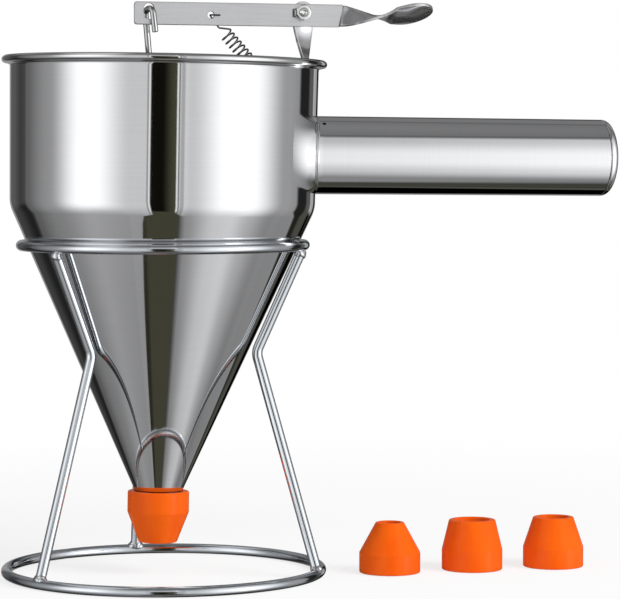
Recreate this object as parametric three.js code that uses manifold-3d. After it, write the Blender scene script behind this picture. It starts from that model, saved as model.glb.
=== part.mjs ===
// Batter dispenser: a steel funnel with a tube handle and a sprung thumb lever that lifts a stopper off
// its outlet, the wire stand that it rests in, one fitted nozzle and three spare ones.
// Millimetres, +Z up, the handle along +X, the origin under the middle of the whole thing.
import * as THREE from 'three';
import { mergeVertices } from 'three/addons/utils/BufferGeometryUtils.js';
import Module from 'manifold-3d';

const wasm = await Module();
wasm.setup();

const DEGREE = Math.PI / 180;

// Clearances and cutting tools
const SEAT_GAP = 0.3;
const CUT_OVERRUN = 3;

// Wire stand: two rings and three kinked legs
const WIRE_DIAMETER = 5;
const BASE_RING_RADIUS = 76;
const UPPER_RING_RADIUS = 68.1;
const UPPER_RING_HEIGHT = 159.3;
const LEG_COUNT = 3;
const FIRST_LEG_ANGLE = -28.8 * DEGREE;
const FOOT_SKEWS = [1.8 * DEGREE, -2.5 * DEGREE, -3.3 * DEGREE];
const KNEE_BELOW_RING = 51;
const KNEE_CONE_GAP = 1.42;
const KNEE_BEND = 8;
const LEG_TOP_OUTSET = 0.5;
const LEG_TOP_DROP = 2.2;
const WELD_RADIUS = 3.2;
const WELD_SETBACK = 0.8;

// Funnel, which stands a little tipped in its ring
const TIP_ANGLE = 1 * DEGREE;
const SHEET = 0.8;
const CONE_HALF_ANGLE = 24.3 * DEGREE;
const SHOULDER_RADIUS = 73.25;
const SHOULDER_BEND = 17;
const WALL_TOP_RADIUS = 74;
const WALL_HEIGHT = 71.2;
const RIM_RADIUS = 78;
const LIP_THICKNESS = 3.5;
const LIP_FLARE = 3;
const SPOUT_RADIUS = 11.45;
const COLLAR_LENGTH = 9;
const COLLAR_WALL = 1.25;
const COLLAR_CHAMFER = 0.6;

// Handle: a tube on the wall, closed by a pressed cap
const HANDLE_DIAMETER = 38;
const HANDLE_WALL = 1;
const HANDLE_LENGTH = 153.2;
const HANDLE_DROP = 45;
const HANDLE_RISE = 0.47 * DEGREE;
const CAP_SKIRT = 0.5;
const CAP_BEND = 3.8;
const CAP_SPIGOT = 4;
const CAP_CROWN = 0.6;
const VENT_DIAMETER = 1.8;
const VENT_SETBACK = 3.4;
const VENT_ANGLE = 53 * DEGREE;

// Lever strip, measured from the pivot along the strip and up it
const STRIP_WIDTH = 11.1;
const STRIP_THICKNESS = 1.5;
const STRIP_DROP = 1.25;
const STRIP_CORNER = 1.2;
const LEVER_REST_RISE = 0.8 * DEGREE;
const LEVER_TAIL = 82.5;
const TWIST_START = 19.6;
const TWIST_LENGTH = 27;
const TWIST_EASE_SHARE = 0.3;
const PADDLE_ROLL = 117 * DEGREE;
const PADDLE_START = 38.6;
const PADDLE_MIDDLE = 55.1;
const PADDLE_TIP = 66.4;
const PADDLE_WIDTH = 18.8;
const PADDLE_DISH = 1.8;
const PADDLE_PITCH = 6.5 * DEGREE;
const PADDLE_BEND_START = 39.6;
const ROD_HOLE_REACH = 75.4;
const ROD_HOLE_RISE = 1;
const ROD_HOLE_DIAMETER = 5;
const ROD_SLOT_DROP = 2.6;
const SPRING_HOLE_REACH = 45.1;
const SPRING_HOLE_DROP = 1.7;
const SPRING_HOLE_DIAMETER = 3.4;

// Pivot: a screw through bracket, washer and lever, with its nut in front
const PIVOT_INSET = 6.6;
const PIVOT_ABOVE_RIM = 23.7;
const SCREW_DIAMETER = 4;
const SCREW_HEAD_DIAMETER = 8;
const SCREW_HEAD_HEIGHT = 2.6;
const SCREW_OVERHANG = 1;
const NUT_ACROSS_FLATS = 7;
const NUT_HEIGHT = 4.2;
const NUT_TURN = 8 * DEGREE;
const WASHER_DIAMETER = 9;
const WASHER_THICKNESS = 0.8;

// Bracket: flat on the inside of the wall, then twisted to stand behind the lever
const BRACKET_WIDTH = 10.4;
const BRACKET_THICKNESS = 1.5;
const BRACKET_HOLE_OFFSET = 1.6;
const BRACKET_HOLE_DROP = 0.6;
const BRACKET_TWIST_TOP = 4;
const BRACKET_TWIST_LENGTH = 42;
const BRACKET_TWIST_PACE = 1.9;
const BRACKET_BELOW_RIM = 23.6;
const TAB_ANGLE = 46 * DEGREE;
const TAB_LENGTH = 10;
const TAB_HOLE_REACH = 5.4;
const TAB_HOLE_BACK = 2.4;
const TAB_BEND = 3;
const TAB_HOLE_DIAMETER = 2.6;

// Pull rod: a plug socket below, a long crank and a hook through the lever
const ROD_DIAMETER = 3;
const ROD_CRANK_BELOW_RIM = 75;
const ROD_CRANK_BEND = 20;
const HOOK_HALF_WIDTH = 2.8;
const HOOK_BEND = 2.6;
const HOOK_TURN = 25 * DEGREE;
const HOOK_RISE = 1.2;
const HOOK_LEG = 12.8;
const HOOK_LEAN = 7.5 * DEGREE;

// Stopper plug
const PLUG_SEAT_START = 2;
const PLUG_SEAT_HEIGHT = 9;
const PLUG_NOSE_DROP = 4;
const PLUG_NOSE_RADIUS = 6.5;
const PLUG_SHOULDER_HEIGHT = 3;
const PLUG_BOSS_RADIUS = 4;
const PLUG_BOSS_HEIGHT = 5;
const SOCKET_DEPTH = 9;

// Return spring
const SPRING_WIRE = 0.9;
const COIL_RADIUS = 3.05;
const COIL_PITCH = 2.6;
const COIL_TURNS = 17;
const COIL_LEAD = 6.5;
const COIL_BELOW_HOLE = 8.6;
const COIL_PAST_HOLE = 7.8;
const COIL_FORWARD = 1.8;
const SPRING_BEND = 0.9;
const SPRING_FRONT_TAIL = 4.5;
const SPRING_TAB_TAIL = 3;
const SPRING_ELBOW_DROP = 6;
const SPRING_ELBOW_REACH = 4.6;

// Nozzles: one body, four mouths
const NOZZLE_RADIUS = 14.85;
const NOZZLE_HEIGHT = 24.5;
const NOZZLE_STRAIGHT = 9.8;
const NOZZLE_LEAD_RADIUS = 12.7;
const NOZZLE_LEAD_DEPTH = 2;
const NOZZLE_EDGE = 0.9;
const NOZZLE_MOUTH_LAND = 2;
const MOUTH_BORE_SHARE = 0.76;
const FITTED_MOUTH_RADIUS = 8.6;
const SPARE_MOUTH_RADII = [6.8, 11.3, 9.9];
const SPARE_ROW_START = 107.4;
const SPARE_SPACING = 42;
const SPARE_ROW_OFFSET = -22;

// Facet counts
const RING_SIDES = 48;
const WIRE_SIDES = 10;
const FUNNEL_SIDES = 60;
const TUBE_SIDES = 40;
const CAP_SIDES = 32;
const COLLAR_SIDES = 24;
const NOZZLE_SIDES = 24;
const SMALL_SIDES = 16;
const CUTTER_SIDES = 96;
const STRIP_COLUMNS = 6;
const BEND_STEPS = 5;
const FINE_BEND_STEPS = 3;
const EDGE_STEPS = 2;
const COIL_STEPS = 8;
const SPRING_SIDES = 5;
const NEIGHBOUR_DIAMETERS = 5;
const LAST_TIP_SHARE = 0.96;

const STEEL = { color: 0xc8cacc, roughness: 0.12, metalness: 1 };
const CHROME = { color: 0xd6dade, roughness: 0.08, metalness: 1 };
const SPRING_STEEL = { color: 0x8d8f91, roughness: 0.3, metalness: 1 };
const ORANGE = { color: 0xf0661a, roughness: 0.4, metalness: 0 };

const WIRE_RADIUS = WIRE_DIAMETER / 2;
const Y_AXIS = new THREE.Vector3(0, 1, 0);
const Z_AXIS = new THREE.Vector3(0, 0, 1);

function at(x, y, z = 0) {
  return new THREE.Vector3(x, y, z);
}

// Merges the shared vertices of a surface, drops collapsed faces and turns the rest outward.
function closeSurface(geometry) {
  const bare = new THREE.BufferGeometry();
  bare.setAttribute('position', geometry.getAttribute('position'));
  bare.setIndex(geometry.getIndex());
  const merged = mergeVertices(bare);
  const position = merged.getAttribute('position');
  const index = merged.getIndex().array;
  const faces = [];
  let volume = 0;
  for (let i = 0; i < index.length; i += 3) {
    const [a, b, c] = [index[i], index[i + 1], index[i + 2]];
    if (a === b || b === c || c === a) continue;
    const corners = [a, b, c].map((vertex) => new THREE.Vector3().fromBufferAttribute(position, vertex));
    volume += corners[0].dot(corners[1].clone().cross(corners[2]));
    faces.push([a, b, c]);
  }
  const outward = volume > 0 ? faces : faces.map(([a, b, c]) => [a, c, b]);
  merged.setIndex(outward.flat());
  return merged;
}

function toManifold(geometry) {
  const vertProperties = Float32Array.from(geometry.getAttribute('position').array);
  const triVerts = Uint32Array.from(geometry.getIndex().array);
  return new wasm.Manifold(new wasm.Mesh({ numProp: 3, vertProperties, triVerts }));
}

function fromManifold(solid) {
  const mesh = solid.getMesh();
  const geometry = new THREE.BufferGeometry();
  geometry.setAttribute('position', new THREE.BufferAttribute(Float32Array.from(mesh.vertProperties), 3));
  geometry.setIndex(Array.from(mesh.triVerts));
  return geometry;
}

function cut(geometry, ...tools) {
  const start = toManifold(geometry);
  return fromManifold(tools.reduce((solid, tool) => solid.subtract(toManifold(tool)), start));
}

function join(geometry, ...others) {
  const start = toManifold(geometry);
  return fromManifold(others.reduce((solid, other) => solid.add(toManifold(other)), start));
}

// Replaces each inner corner of a path by an arc of that corner's bend radius; a zero keeps it sharp.
function roundCorners(corners, bends, steps = BEND_STEPS) {
  const path = [corners[0]];
  for (let i = 1; i < corners.length - 1; i += 1) {
    const corner = corners[i];
    const bend = bends[i - 1];
    if (bend === 0) {
      path.push(corner);
      continue;
    }
    const back = corners[i - 1].clone().sub(corner).normalize();
    const ahead = corners[i + 1].clone().sub(corner).normalize();
    const half = back.angleTo(ahead) / 2;
    const sweep = Math.PI - 2 * half;
    const middle = back.clone().add(ahead).normalize();
    const centre = corner.clone().addScaledVector(middle, bend / Math.sin(half));
    const first = corner.clone().addScaledVector(back, bend / Math.tan(half)).sub(centre);
    const last = corner.clone().addScaledVector(ahead, bend / Math.tan(half)).sub(centre);
    for (let step = 0; step <= steps; step += 1) {
      const turned = (step / steps) * sweep;
      const arm = first.clone().multiplyScalar(Math.sin(sweep - turned) / Math.sin(sweep));
      arm.addScaledVector(last, Math.sin(turned) / Math.sin(sweep));
      path.push(arm.add(centre));
    }
  }
  path.push(corners[corners.length - 1]);
  return path;
}

// Points of an arc round a centre in the profile plane, both ends included.
function arc(centre, radiusX, radiusY, from, to, steps = BEND_STEPS) {
  const points = [];
  for (let step = 0; step <= steps; step += 1) {
    const angle = from + ((to - from) * step) / steps;
    points.push(at(centre.x + radiusX * Math.cos(angle), centre.y + radiusY * Math.sin(angle)));
  }
  return points;
}

// Moves an open profile to its left by a distance, with mitred corners.
function offsetProfile(path, distance) {
  const normals = path.slice(1).map((end, i) => {
    const run = end.clone().sub(path[i]).normalize();
    return at(-run.y, run.x);
  });
  return path.map((corner, i) => {
    const before = normals[Math.max(i - 1, 0)];
    const after = normals[Math.min(i, normals.length - 1)];
    const mitre = before.clone().add(after).divideScalar(1 + before.dot(after));
    return corner.clone().addScaledVector(mitre, distance);
  });
}

// Turns a profile of radius and height round +Z; one that leaves the axis is closed on itself.
function revolve(profile, sides) {
  const closed = profile[0].x > 0 ? [...profile, profile[0]] : profile;
  const geometry = new THREE.LatheGeometry(closed, sides);
  geometry.rotateX(Math.PI / 2);
  return closeSurface(geometry);
}

// A round bar between two points.
function bar(from, to, diameter, sides = SMALL_SIDES) {
  const run = to.clone().sub(from);
  const geometry = new THREE.CylinderGeometry(diameter / 2, diameter / 2, run.length(), sides);
  geometry.applyQuaternion(new THREE.Quaternion().setFromUnitVectors(Y_AXIS, run.clone().normalize()));
  const middle = from.clone().add(to).divideScalar(2);
  geometry.translate(middle.x, middle.y, middle.z);
  return closeSurface(geometry);
}

// A curve that sets one ring of an extrusion at each of its points.
class BentWire extends THREE.Curve {
  constructor(points) {
    super();
    this.points = points;
  }

  getPoint(share) {
    const place = share * (this.points.length - 1);
    const i = Math.min(Math.floor(place), this.points.length - 2);
    return this.points[i].clone().lerp(this.points[i + 1], place - i);
  }

  getPointAt(share) {
    return this.getPoint(share);
  }

  getTangentAt(share) {
    const i = Math.round(share * (this.points.length - 1));
    const before = this.points[Math.max(i - 1, 0)];
    const after = this.points[Math.min(i + 1, this.points.length - 1)];
    return after.clone().sub(before).normalize();
  }
}

function wire(points, diameter, sides = WIRE_SIDES) {
  const outline = [];
  for (let i = 0; i < sides; i += 1) {
    const angle = ((2 * i + 1) * Math.PI) / sides;
    outline.push(new THREE.Vector2((diameter / 2) * Math.cos(angle), (diameter / 2) * Math.sin(angle)));
  }
  const extrudePath = new BentWire(points);
  const options = { steps: points.length - 1, extrudePath };
  return closeSurface(new THREE.ExtrudeGeometry(new THREE.Shape(outline), options));
}

// Joins rings of points, each of one count, into a skin closed by a fan at either end.
function loft(rings) {
  const count = rings[0].length;
  const last = (rings.length - 1) * count;
  const index = [];
  for (let i = 0; i < last; i += count) {
    for (let j = 0; j < count; j += 1) {
      const next = (j + 1) % count;
      index.push(i + j, i + next, i + count + j, i + next, i + count + next, i + count + j);
    }
  }
  for (let j = 1; j < count - 1; j += 1) {
    index.push(0, j + 1, j, last, last + j, last + j + 1);
  }
  const geometry = new THREE.BufferGeometry();
  const places = rings.flat().flatMap((corner) => corner.toArray());
  geometry.setAttribute('position', new THREE.Float32BufferAttribute(places, 3));
  geometry.setIndex(index);
  return closeSurface(geometry);
}

// One ring of a strip. Its middle sags below its edges by the dish.
function stripRing(centre, across, normal, width, thickness, dish = 0) {
  const upper = [];
  const lower = [];
  for (let i = 0; i <= STRIP_COLUMNS; i += 1) {
    const side = (2 * i) / STRIP_COLUMNS - 1;
    const place = centre.clone().addScaledVector(across, (side * width) / 2);
    place.addScaledVector(normal, dish * (side * side - 1));
    upper.push(place.clone().addScaledVector(normal, thickness / 2));
    lower.push(place.clone().addScaledVector(normal, -thickness / 2));
  }
  return [...upper, ...lower.reverse()];
}

function smooth(share) {
  return THREE.MathUtils.smoothstep(share, 0, 1);
}

function piece(name, geometry, look) {
  const mesh = new THREE.Mesh(geometry, new THREE.MeshStandardMaterial(look));
  mesh.name = name;
  return mesh;
}

// Heights of the funnel on its own axis, worked out from the ring that it rests in.
const coneSlope = Math.tan(CONE_HALF_ANGLE);
const ringSeatRadius = UPPER_RING_RADIUS - (WIRE_RADIUS + SEAT_GAP) / Math.cos(CONE_HALF_ANGLE);
const shoulderHeight = UPPER_RING_HEIGHT + (SHOULDER_RADIUS - ringSeatRadius) / coneSlope;
const coneEndHeight = UPPER_RING_HEIGHT - (ringSeatRadius - SPOUT_RADIUS) / coneSlope;
const rimHeight = shoulderHeight + WALL_HEIGHT;
const lipUnderside = rimHeight - LIP_THICKNESS;
const tipCentreHeight = UPPER_RING_HEIGHT + UPPER_RING_RADIUS * coneSlope;
const wallTaper = (WALL_TOP_RADIUS - SHOULDER_RADIUS) / (lipUnderside - shoulderHeight);
const coneSheetWidth = SHEET / Math.cos(CONE_HALF_ANGLE);

function wallRadius(height) {
  return SHOULDER_RADIUS + (height - shoulderHeight) * wallTaper;
}

function coneBoreRadius(height) {
  return SPOUT_RADIUS + (height - coneEndHeight) * coneSlope - coneSheetWidth;
}

// Places along the pivot, in front of the middle of the bracket.
const washerMiddle = BRACKET_THICKNESS / 2 + SEAT_GAP + WASHER_THICKNESS / 2;
const leverMiddle = washerMiddle + WASHER_THICKNESS / 2 + SEAT_GAP + STRIP_THICKNESS / 2;
const nutMiddle = leverMiddle + STRIP_THICKNESS / 2 + SEAT_GAP + NUT_HEIGHT / 2;
const pivot = at(WALL_TOP_RADIUS - SHEET - PIVOT_INSET, 0, rimHeight + PIVOT_ABOVE_RIM);

// A place on the lever strip, given from its pivot, in the funnel's frame.
function onLever(along, up, forward = 0) {
  const turned = at(along, -forward, up).applyAxisAngle(Y_AXIS, -LEVER_REST_RISE);
  return turned.add(pivot).add(at(0, -leverMiddle));
}

const rodHole = onLever(-ROD_HOLE_REACH, ROD_HOLE_RISE);
const springHole = onLever(-SPRING_HOLE_REACH, -SPRING_HOLE_DROP);

function ringSection(radius, height, grow = 0) {
  const flatRadius = WIRE_RADIUS + grow;
  const section = [];
  for (let i = 0; i < WIRE_SIDES; i += 1) {
    const angle = ((2 * i + 1) * Math.PI) / WIRE_SIDES - Math.PI / 2;
    section.push(at(radius + flatRadius * Math.cos(angle), height + flatRadius * Math.sin(angle)));
  }
  return section;
}

// The lowest facet of the base ring lies flat on the table.
const baseRingHeight = WIRE_RADIUS * Math.cos(Math.PI / WIRE_SIDES);

function baseRing(grow = 0) {
  return revolve(ringSection(BASE_RING_RADIUS, baseRingHeight, grow), RING_SIDES);
}

function upperRing(grow = 0) {
  return revolve(ringSection(UPPER_RING_RADIUS, UPPER_RING_HEIGHT, grow), RING_SIDES);
}

// A leg leans in along the cone from the upper ring, turns at its knee and splays to the base ring,
// where its foot is skewed a little round the stand.
// Both ends are coped round the rings inside a bead of weld.
function leg(angle, skew) {
  const foot = at(BASE_RING_RADIUS, 0, baseRingHeight).applyAxisAngle(Z_AXIS, skew);
  const kneeHeight = UPPER_RING_HEIGHT - KNEE_BELOW_RING;
  const kneeSetback = (WIRE_RADIUS + KNEE_CONE_GAP) / Math.cos(CONE_HALF_ANGLE);
  const kneeRadius = ringSeatRadius - KNEE_BELOW_RING * coneSlope + kneeSetback;
  const knee = at(kneeRadius, 0, kneeHeight);
  const top = at(UPPER_RING_RADIUS + LEG_TOP_OUTSET, 0, UPPER_RING_HEIGHT - LEG_TOP_DROP);
  const stem = wire(roundCorners([foot, knee, top], [KNEE_BEND]), WIRE_DIAMETER);
  const footWeld = foot.clone().lerp(knee, (WIRE_RADIUS + WELD_SETBACK) / foot.distanceTo(knee));
  const topWeld = top.clone().lerp(knee, WELD_SETBACK / top.distanceTo(knee));
  const beads = [footWeld, topWeld].map((place) => {
    const bead = new THREE.SphereGeometry(WELD_RADIUS, WIRE_SIDES, WIRE_SIDES);
    bead.translate(place.x, place.y, place.z);
    return closeSurface(bead);
  });
  const turned = join(stem, ...beads).rotateZ(angle);
  return cut(turned, baseRing(SEAT_GAP), upperRing(SEAT_GAP));
}

// Cone, rounded shoulder, slightly flared wall and rolled lip in one sheet.
function funnelShell() {
  const corners = [
    at(SPOUT_RADIUS, coneEndHeight),
    at(SHOULDER_RADIUS, shoulderHeight),
    at(WALL_TOP_RADIUS, lipUnderside),
  ];
  const outside = roundCorners(corners, [SHOULDER_BEND]);
  const inside = offsetProfile(outside, SHEET).reverse();
  const lipRadius = LIP_THICKNESS / 2;
  const lipCentre = at(RIM_RADIUS - lipRadius, rimHeight - lipRadius);
  const roll = arc(lipCentre, lipRadius, lipRadius, -Math.PI / 2, Math.PI / 2);
  const innerWall = inside[0];
  const flareCentre = at(innerWall.x + LIP_FLARE, innerWall.y);
  const flare = arc(flareCentre, LIP_FLARE, rimHeight - innerWall.y, Math.PI / 2, Math.PI);
  return revolve([...outside, ...roll, ...flare, ...inside.slice(1)], FUNNEL_SIDES);
}

// The turned sleeve under the cone that the nozzles push on to.
function spoutCollar() {
  const top = coneEndHeight - SEAT_GAP;
  const bottom = coneEndHeight - COLLAR_LENGTH;
  const bore = SPOUT_RADIUS - COLLAR_WALL;
  const profile = [
    at(bore, top),
    at(bore, bottom),
    at(SPOUT_RADIUS - COLLAR_CHAMFER, bottom),
    at(SPOUT_RADIUS, bottom + COLLAR_CHAMFER),
    at(SPOUT_RADIUS, top),
  ];
  return revolve(profile, COLLAR_SIDES);
}

// Turns a piece made along +Z from the wall on to the handle's axis; its own -X side comes up.
function alongHandle(geometry) {
  geometry.rotateY(Math.PI / 2 - HANDLE_RISE);
  const height = rimHeight - HANDLE_DROP;
  return geometry.translate(wallRadius(height), 0, height);
}

const handleRadius = HANDLE_DIAMETER / 2;
const capSeat = HANDLE_LENGTH - CAP_BEND - CAP_SKIRT;

// A plain tube, cut to the round of the wall, with a small vent beside the weld.
function handleTube() {
  const start = -handleRadius;
  const bore = handleRadius - HANDLE_WALL;
  const end = capSeat - SEAT_GAP;
  const profile = [at(bore, start), at(handleRadius, start), at(handleRadius, end), at(bore, end)];
  const tube = alongHandle(revolve(profile, TUBE_SIDES));
  const low = shoulderHeight - CUT_OVERRUN;
  const high = rimHeight + CUT_OVERRUN;
  const funnelSide = [
    at(0, low),
    at(wallRadius(low) + SEAT_GAP, low),
    at(wallRadius(high) + SEAT_GAP, high),
    at(0, high),
  ];
  const outward = at(-Math.sin(VENT_ANGLE), -Math.cos(VENT_ANGLE));
  const ventStart = outward.clone().multiplyScalar(bore - CUT_OVERRUN).add(at(0, 0, VENT_SETBACK));
  const ventEnd = ventStart.clone().addScaledVector(outward, HANDLE_WALL + 2 * CUT_OVERRUN);
  const vent = alongHandle(bar(ventStart, ventEnd, VENT_DIAMETER));
  return cut(tube, revolve(funnelSide, CUTTER_SIDES), vent);
}

// A pressed cup whose spigot goes into the tube.
function handleEndCap() {
  const end = HANDLE_LENGTH;
  const spigot = handleRadius - HANDLE_WALL - SEAT_GAP;
  const outside = [
    at(0, end + CAP_CROWN),
    ...arc(at(handleRadius - CAP_BEND, end - CAP_BEND), CAP_BEND, CAP_BEND, Math.PI / 2, 0),
    at(handleRadius, capSeat),
    at(spigot, capSeat),
    at(spigot, capSeat - CAP_SPIGOT),
  ];
  const bore = spigot - HANDLE_WALL;
  const corner = at(bore - CAP_BEND, end - HANDLE_WALL - CAP_BEND);
  const inside = [
    at(bore, capSeat - CAP_SPIGOT),
    ...arc(corner, CAP_BEND, CAP_BEND, 0, Math.PI / 2, FINE_BEND_STEPS),
    at(0, end - HANDLE_WALL),
  ];
  return alongHandle(revolve([...outside, ...inside], CAP_SIDES));
}

// Half-turned strip: the round top stands behind the lever, the foot lies flat on the wall inside
// and ends in a tab, bent in, for the spring.
const bracketFlatX = Math.sqrt(
  (wallRadius(lipUnderside - BRACKET_BELOW_RIM) - SHEET) ** 2 - (BRACKET_WIDTH / 2) ** 2,
) - SEAT_GAP - BRACKET_THICKNESS / 2;
const tabCorner = at(bracketFlatX, 0, rimHeight - BRACKET_BELOW_RIM);
const tabRun = at(-Math.sin(TAB_ANGLE), 0, -Math.cos(TAB_ANGLE));
const tabNormal = at(Math.cos(TAB_ANGLE), 0, -Math.sin(TAB_ANGLE));
const tabHole = tabCorner.clone().addScaledVector(tabRun, TAB_HOLE_REACH).add(at(0, TAB_HOLE_BACK));

function leverBracket() {
  const round = BRACKET_WIDTH / 2;
  const crown = pivot.clone().add(at(BRACKET_HOLE_OFFSET, 0, BRACKET_HOLE_DROP));
  const twistTop = crown.z - BRACKET_TWIST_TOP;
  const twistBottom = twistTop - BRACKET_TWIST_LENGTH;
  const rings = [];
  const addRing = (centre, rise, width) => {
    const left = THREE.MathUtils.clamp((centre.z - twistBottom) / BRACKET_TWIST_LENGTH, 0, 1);
    const turn = (1 - left ** BRACKET_TWIST_PACE) * (Math.PI / 2);
    const sideways = at(rise.z, 0, -rise.x);
    const across = sideways.clone().multiplyScalar(Math.cos(turn)).addScaledVector(Y_AXIS, Math.sin(turn));
    const normal = sideways.clone().multiplyScalar(-Math.sin(turn)).addScaledVector(Y_AXIS, Math.cos(turn));
    rings.push(stripRing(centre, across, normal, width, BRACKET_THICKNESS));
  };
  const roundSteps = BEND_STEPS + 1;
  for (let step = roundSteps - 0.5; step > 0; step -= 1) {
    const angle = (step / roundSteps) * (Math.PI / 2);
    const centre = at(crown.x, 0, crown.z + round * Math.sin(angle));
    addRing(centre, Z_AXIS, 2 * round * Math.cos(angle));
  }
  const twistSteps = 2 * BEND_STEPS;
  for (let step = 0; step <= twistSteps; step += 1) {
    const share = step / twistSteps;
    const x = THREE.MathUtils.lerp(crown.x, bracketFlatX, smooth(share));
    addRing(at(x, 0, THREE.MathUtils.lerp(twistTop, twistBottom, share)), Z_AXIS, BRACKET_WIDTH);
  }
  const tabEnd = tabCorner.clone().addScaledVector(tabRun, TAB_LENGTH);
  const foot = roundCorners([at(bracketFlatX, 0, twistBottom), tabCorner, tabEnd], [TAB_BEND]);
  foot.slice(1).forEach((centre, i) => {
    const turned = Math.min(i, BEND_STEPS) / BEND_STEPS;
    const rise = at(Math.sin(TAB_ANGLE * turned), 0, Math.cos(TAB_ANGLE * turned));
    addRing(centre, rise, BRACKET_WIDTH);
  });
  const behind = at(0, BRACKET_THICKNESS + CUT_OVERRUN);
  const pivotDrill = bar(
    pivot.clone().sub(behind),
    pivot.clone().add(behind),
    SCREW_DIAMETER + 2 * SEAT_GAP,
  );
  const tabDrill = bar(
    tabHole.clone().addScaledVector(tabNormal, -BRACKET_THICKNESS),
    tabHole.clone().addScaledVector(tabNormal, BRACKET_THICKNESS),
    TAB_HOLE_DIAMETER,
  );
  return cut(loft(rings), pivotDrill, tabDrill);
}

function paddleWidth(along) {
  if (along <= PADDLE_MIDDLE) {
    const share = smooth((along - PADDLE_START) / (PADDLE_MIDDLE - PADDLE_START));
    return THREE.MathUtils.lerp(STRIP_WIDTH, PADDLE_WIDTH, share);
  }
  const share = (along - PADDLE_MIDDLE) / (PADDLE_TIP - PADDLE_MIDDLE);
  return PADDLE_WIDTH * Math.sqrt(1 - share * share);
}

// The lever's strip stands on edge, rolls over along its twist and spreads to a dished thumb paddle.
// It is made in its own frame, with the pivot at the origin.
function thumbLever() {
  const rings = [];
  const addRing = (along, width) => {
    const twist = THREE.MathUtils.clamp((along - TWIST_START) / TWIST_LENGTH, 0, 1);
    const roll = PADDLE_ROLL * THREE.MathUtils.lerp(twist, smooth(twist), TWIST_EASE_SHARE);
    const past = Math.max(along - PADDLE_BEND_START, 0);
    const centre = at(along, 0, -STRIP_DROP + past * Math.tan(PADDLE_PITCH));
    const across = at(0, Math.sin(roll), Math.cos(roll));
    const face = at(0, -Math.cos(roll), Math.sin(roll));
    const dishShare = Math.sin(Math.PI * smooth((along - PADDLE_START) / (PADDLE_TIP - PADDLE_START)));
    rings.push(stripRing(centre, across, face, width, STRIP_THICKNESS, PADDLE_DISH * dishShare));
  };
  for (let step = 0; step <= BEND_STEPS; step += 1) {
    const angle = (step / BEND_STEPS) * (Math.PI / 2);
    const inset = STRIP_CORNER * (1 - Math.sin(angle));
    addRing(-LEVER_TAIL + STRIP_CORNER * (1 - Math.cos(angle)), STRIP_WIDTH - 2 * inset);
  }
  const bodySteps = 5 * BEND_STEPS - 5;
  for (let step = 0; step < bodySteps; step += 1) {
    const along = THREE.MathUtils.lerp(TWIST_START, PADDLE_MIDDLE, step / bodySteps);
    addRing(along, paddleWidth(along));
  }
  const tipSteps = BEND_STEPS + 2;
  for (let step = 0; step < tipSteps; step += 1) {
    const angle = (step / (tipSteps - 1)) * LAST_TIP_SHARE * (Math.PI / 2);
    const along = THREE.MathUtils.lerp(PADDLE_MIDDLE, PADDLE_TIP, Math.sin(angle));
    addRing(along, paddleWidth(along));
  }
  const through = at(0, STRIP_THICKNESS + CUT_OVERRUN);
  const holes = [
    [at(0, 0, 0), SCREW_DIAMETER + 2 * SEAT_GAP],
    [at(-ROD_HOLE_REACH, 0, ROD_HOLE_RISE), ROD_HOLE_DIAMETER],
    [at(-ROD_HOLE_REACH, 0, ROD_HOLE_RISE - ROD_SLOT_DROP), ROD_HOLE_DIAMETER],
    [at(-SPRING_HOLE_REACH, 0, -SPRING_HOLE_DROP), SPRING_HOLE_DIAMETER],
  ];
  const drills = holes.map(([place, diameter]) => (
    bar(place.clone().sub(through), place.clone().add(through), diameter)
  ));
  const slot = new THREE.BoxGeometry(ROD_HOLE_DIAMETER, 2 * through.y, ROD_SLOT_DROP);
  slot.translate(-ROD_HOLE_REACH, 0, ROD_HOLE_RISE - ROD_SLOT_DROP / 2);
  return cut(loft(rings), ...drills, closeSurface(slot));
}

// Turns a piece made along +Z on to the pivot, with its own +Z to the front.
function onPivot(geometry) {
  geometry.rotateX(Math.PI / 2);
  return geometry.translate(pivot.x, pivot.y, pivot.z);
}

// Pan-headed screw: the head lies behind the bracket, the shank comes out through the nut.
function pivotScrew() {
  const shank = SCREW_DIAMETER / 2;
  const headRadius = SCREW_HEAD_DIAMETER / 2;
  const headFace = -BRACKET_THICKNESS / 2 - SEAT_GAP;
  const end = nutMiddle + NUT_HEIGHT / 2 + SCREW_OVERHANG;
  const tipChamfer = SCREW_OVERHANG / 2;
  const dome = arc(at(0, headFace), headRadius, SCREW_HEAD_HEIGHT, -Math.PI / 2, 0);
  dome[0].x = 0;
  return onPivot(revolve([
    ...dome,
    at(shank, headFace),
    at(shank, end - tipChamfer),
    at(shank - tipChamfer, end),
    at(0, end),
  ], SMALL_SIDES));
}

function pivotWasher() {
  const bore = SCREW_DIAMETER / 2 + SEAT_GAP;
  const back = washerMiddle - WASHER_THICKNESS / 2;
  const front = washerMiddle + WASHER_THICKNESS / 2;
  const rim = WASHER_DIAMETER / 2;
  return onPivot(revolve([at(bore, back), at(rim, back), at(rim, front), at(bore, front)], SMALL_SIDES));
}

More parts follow.
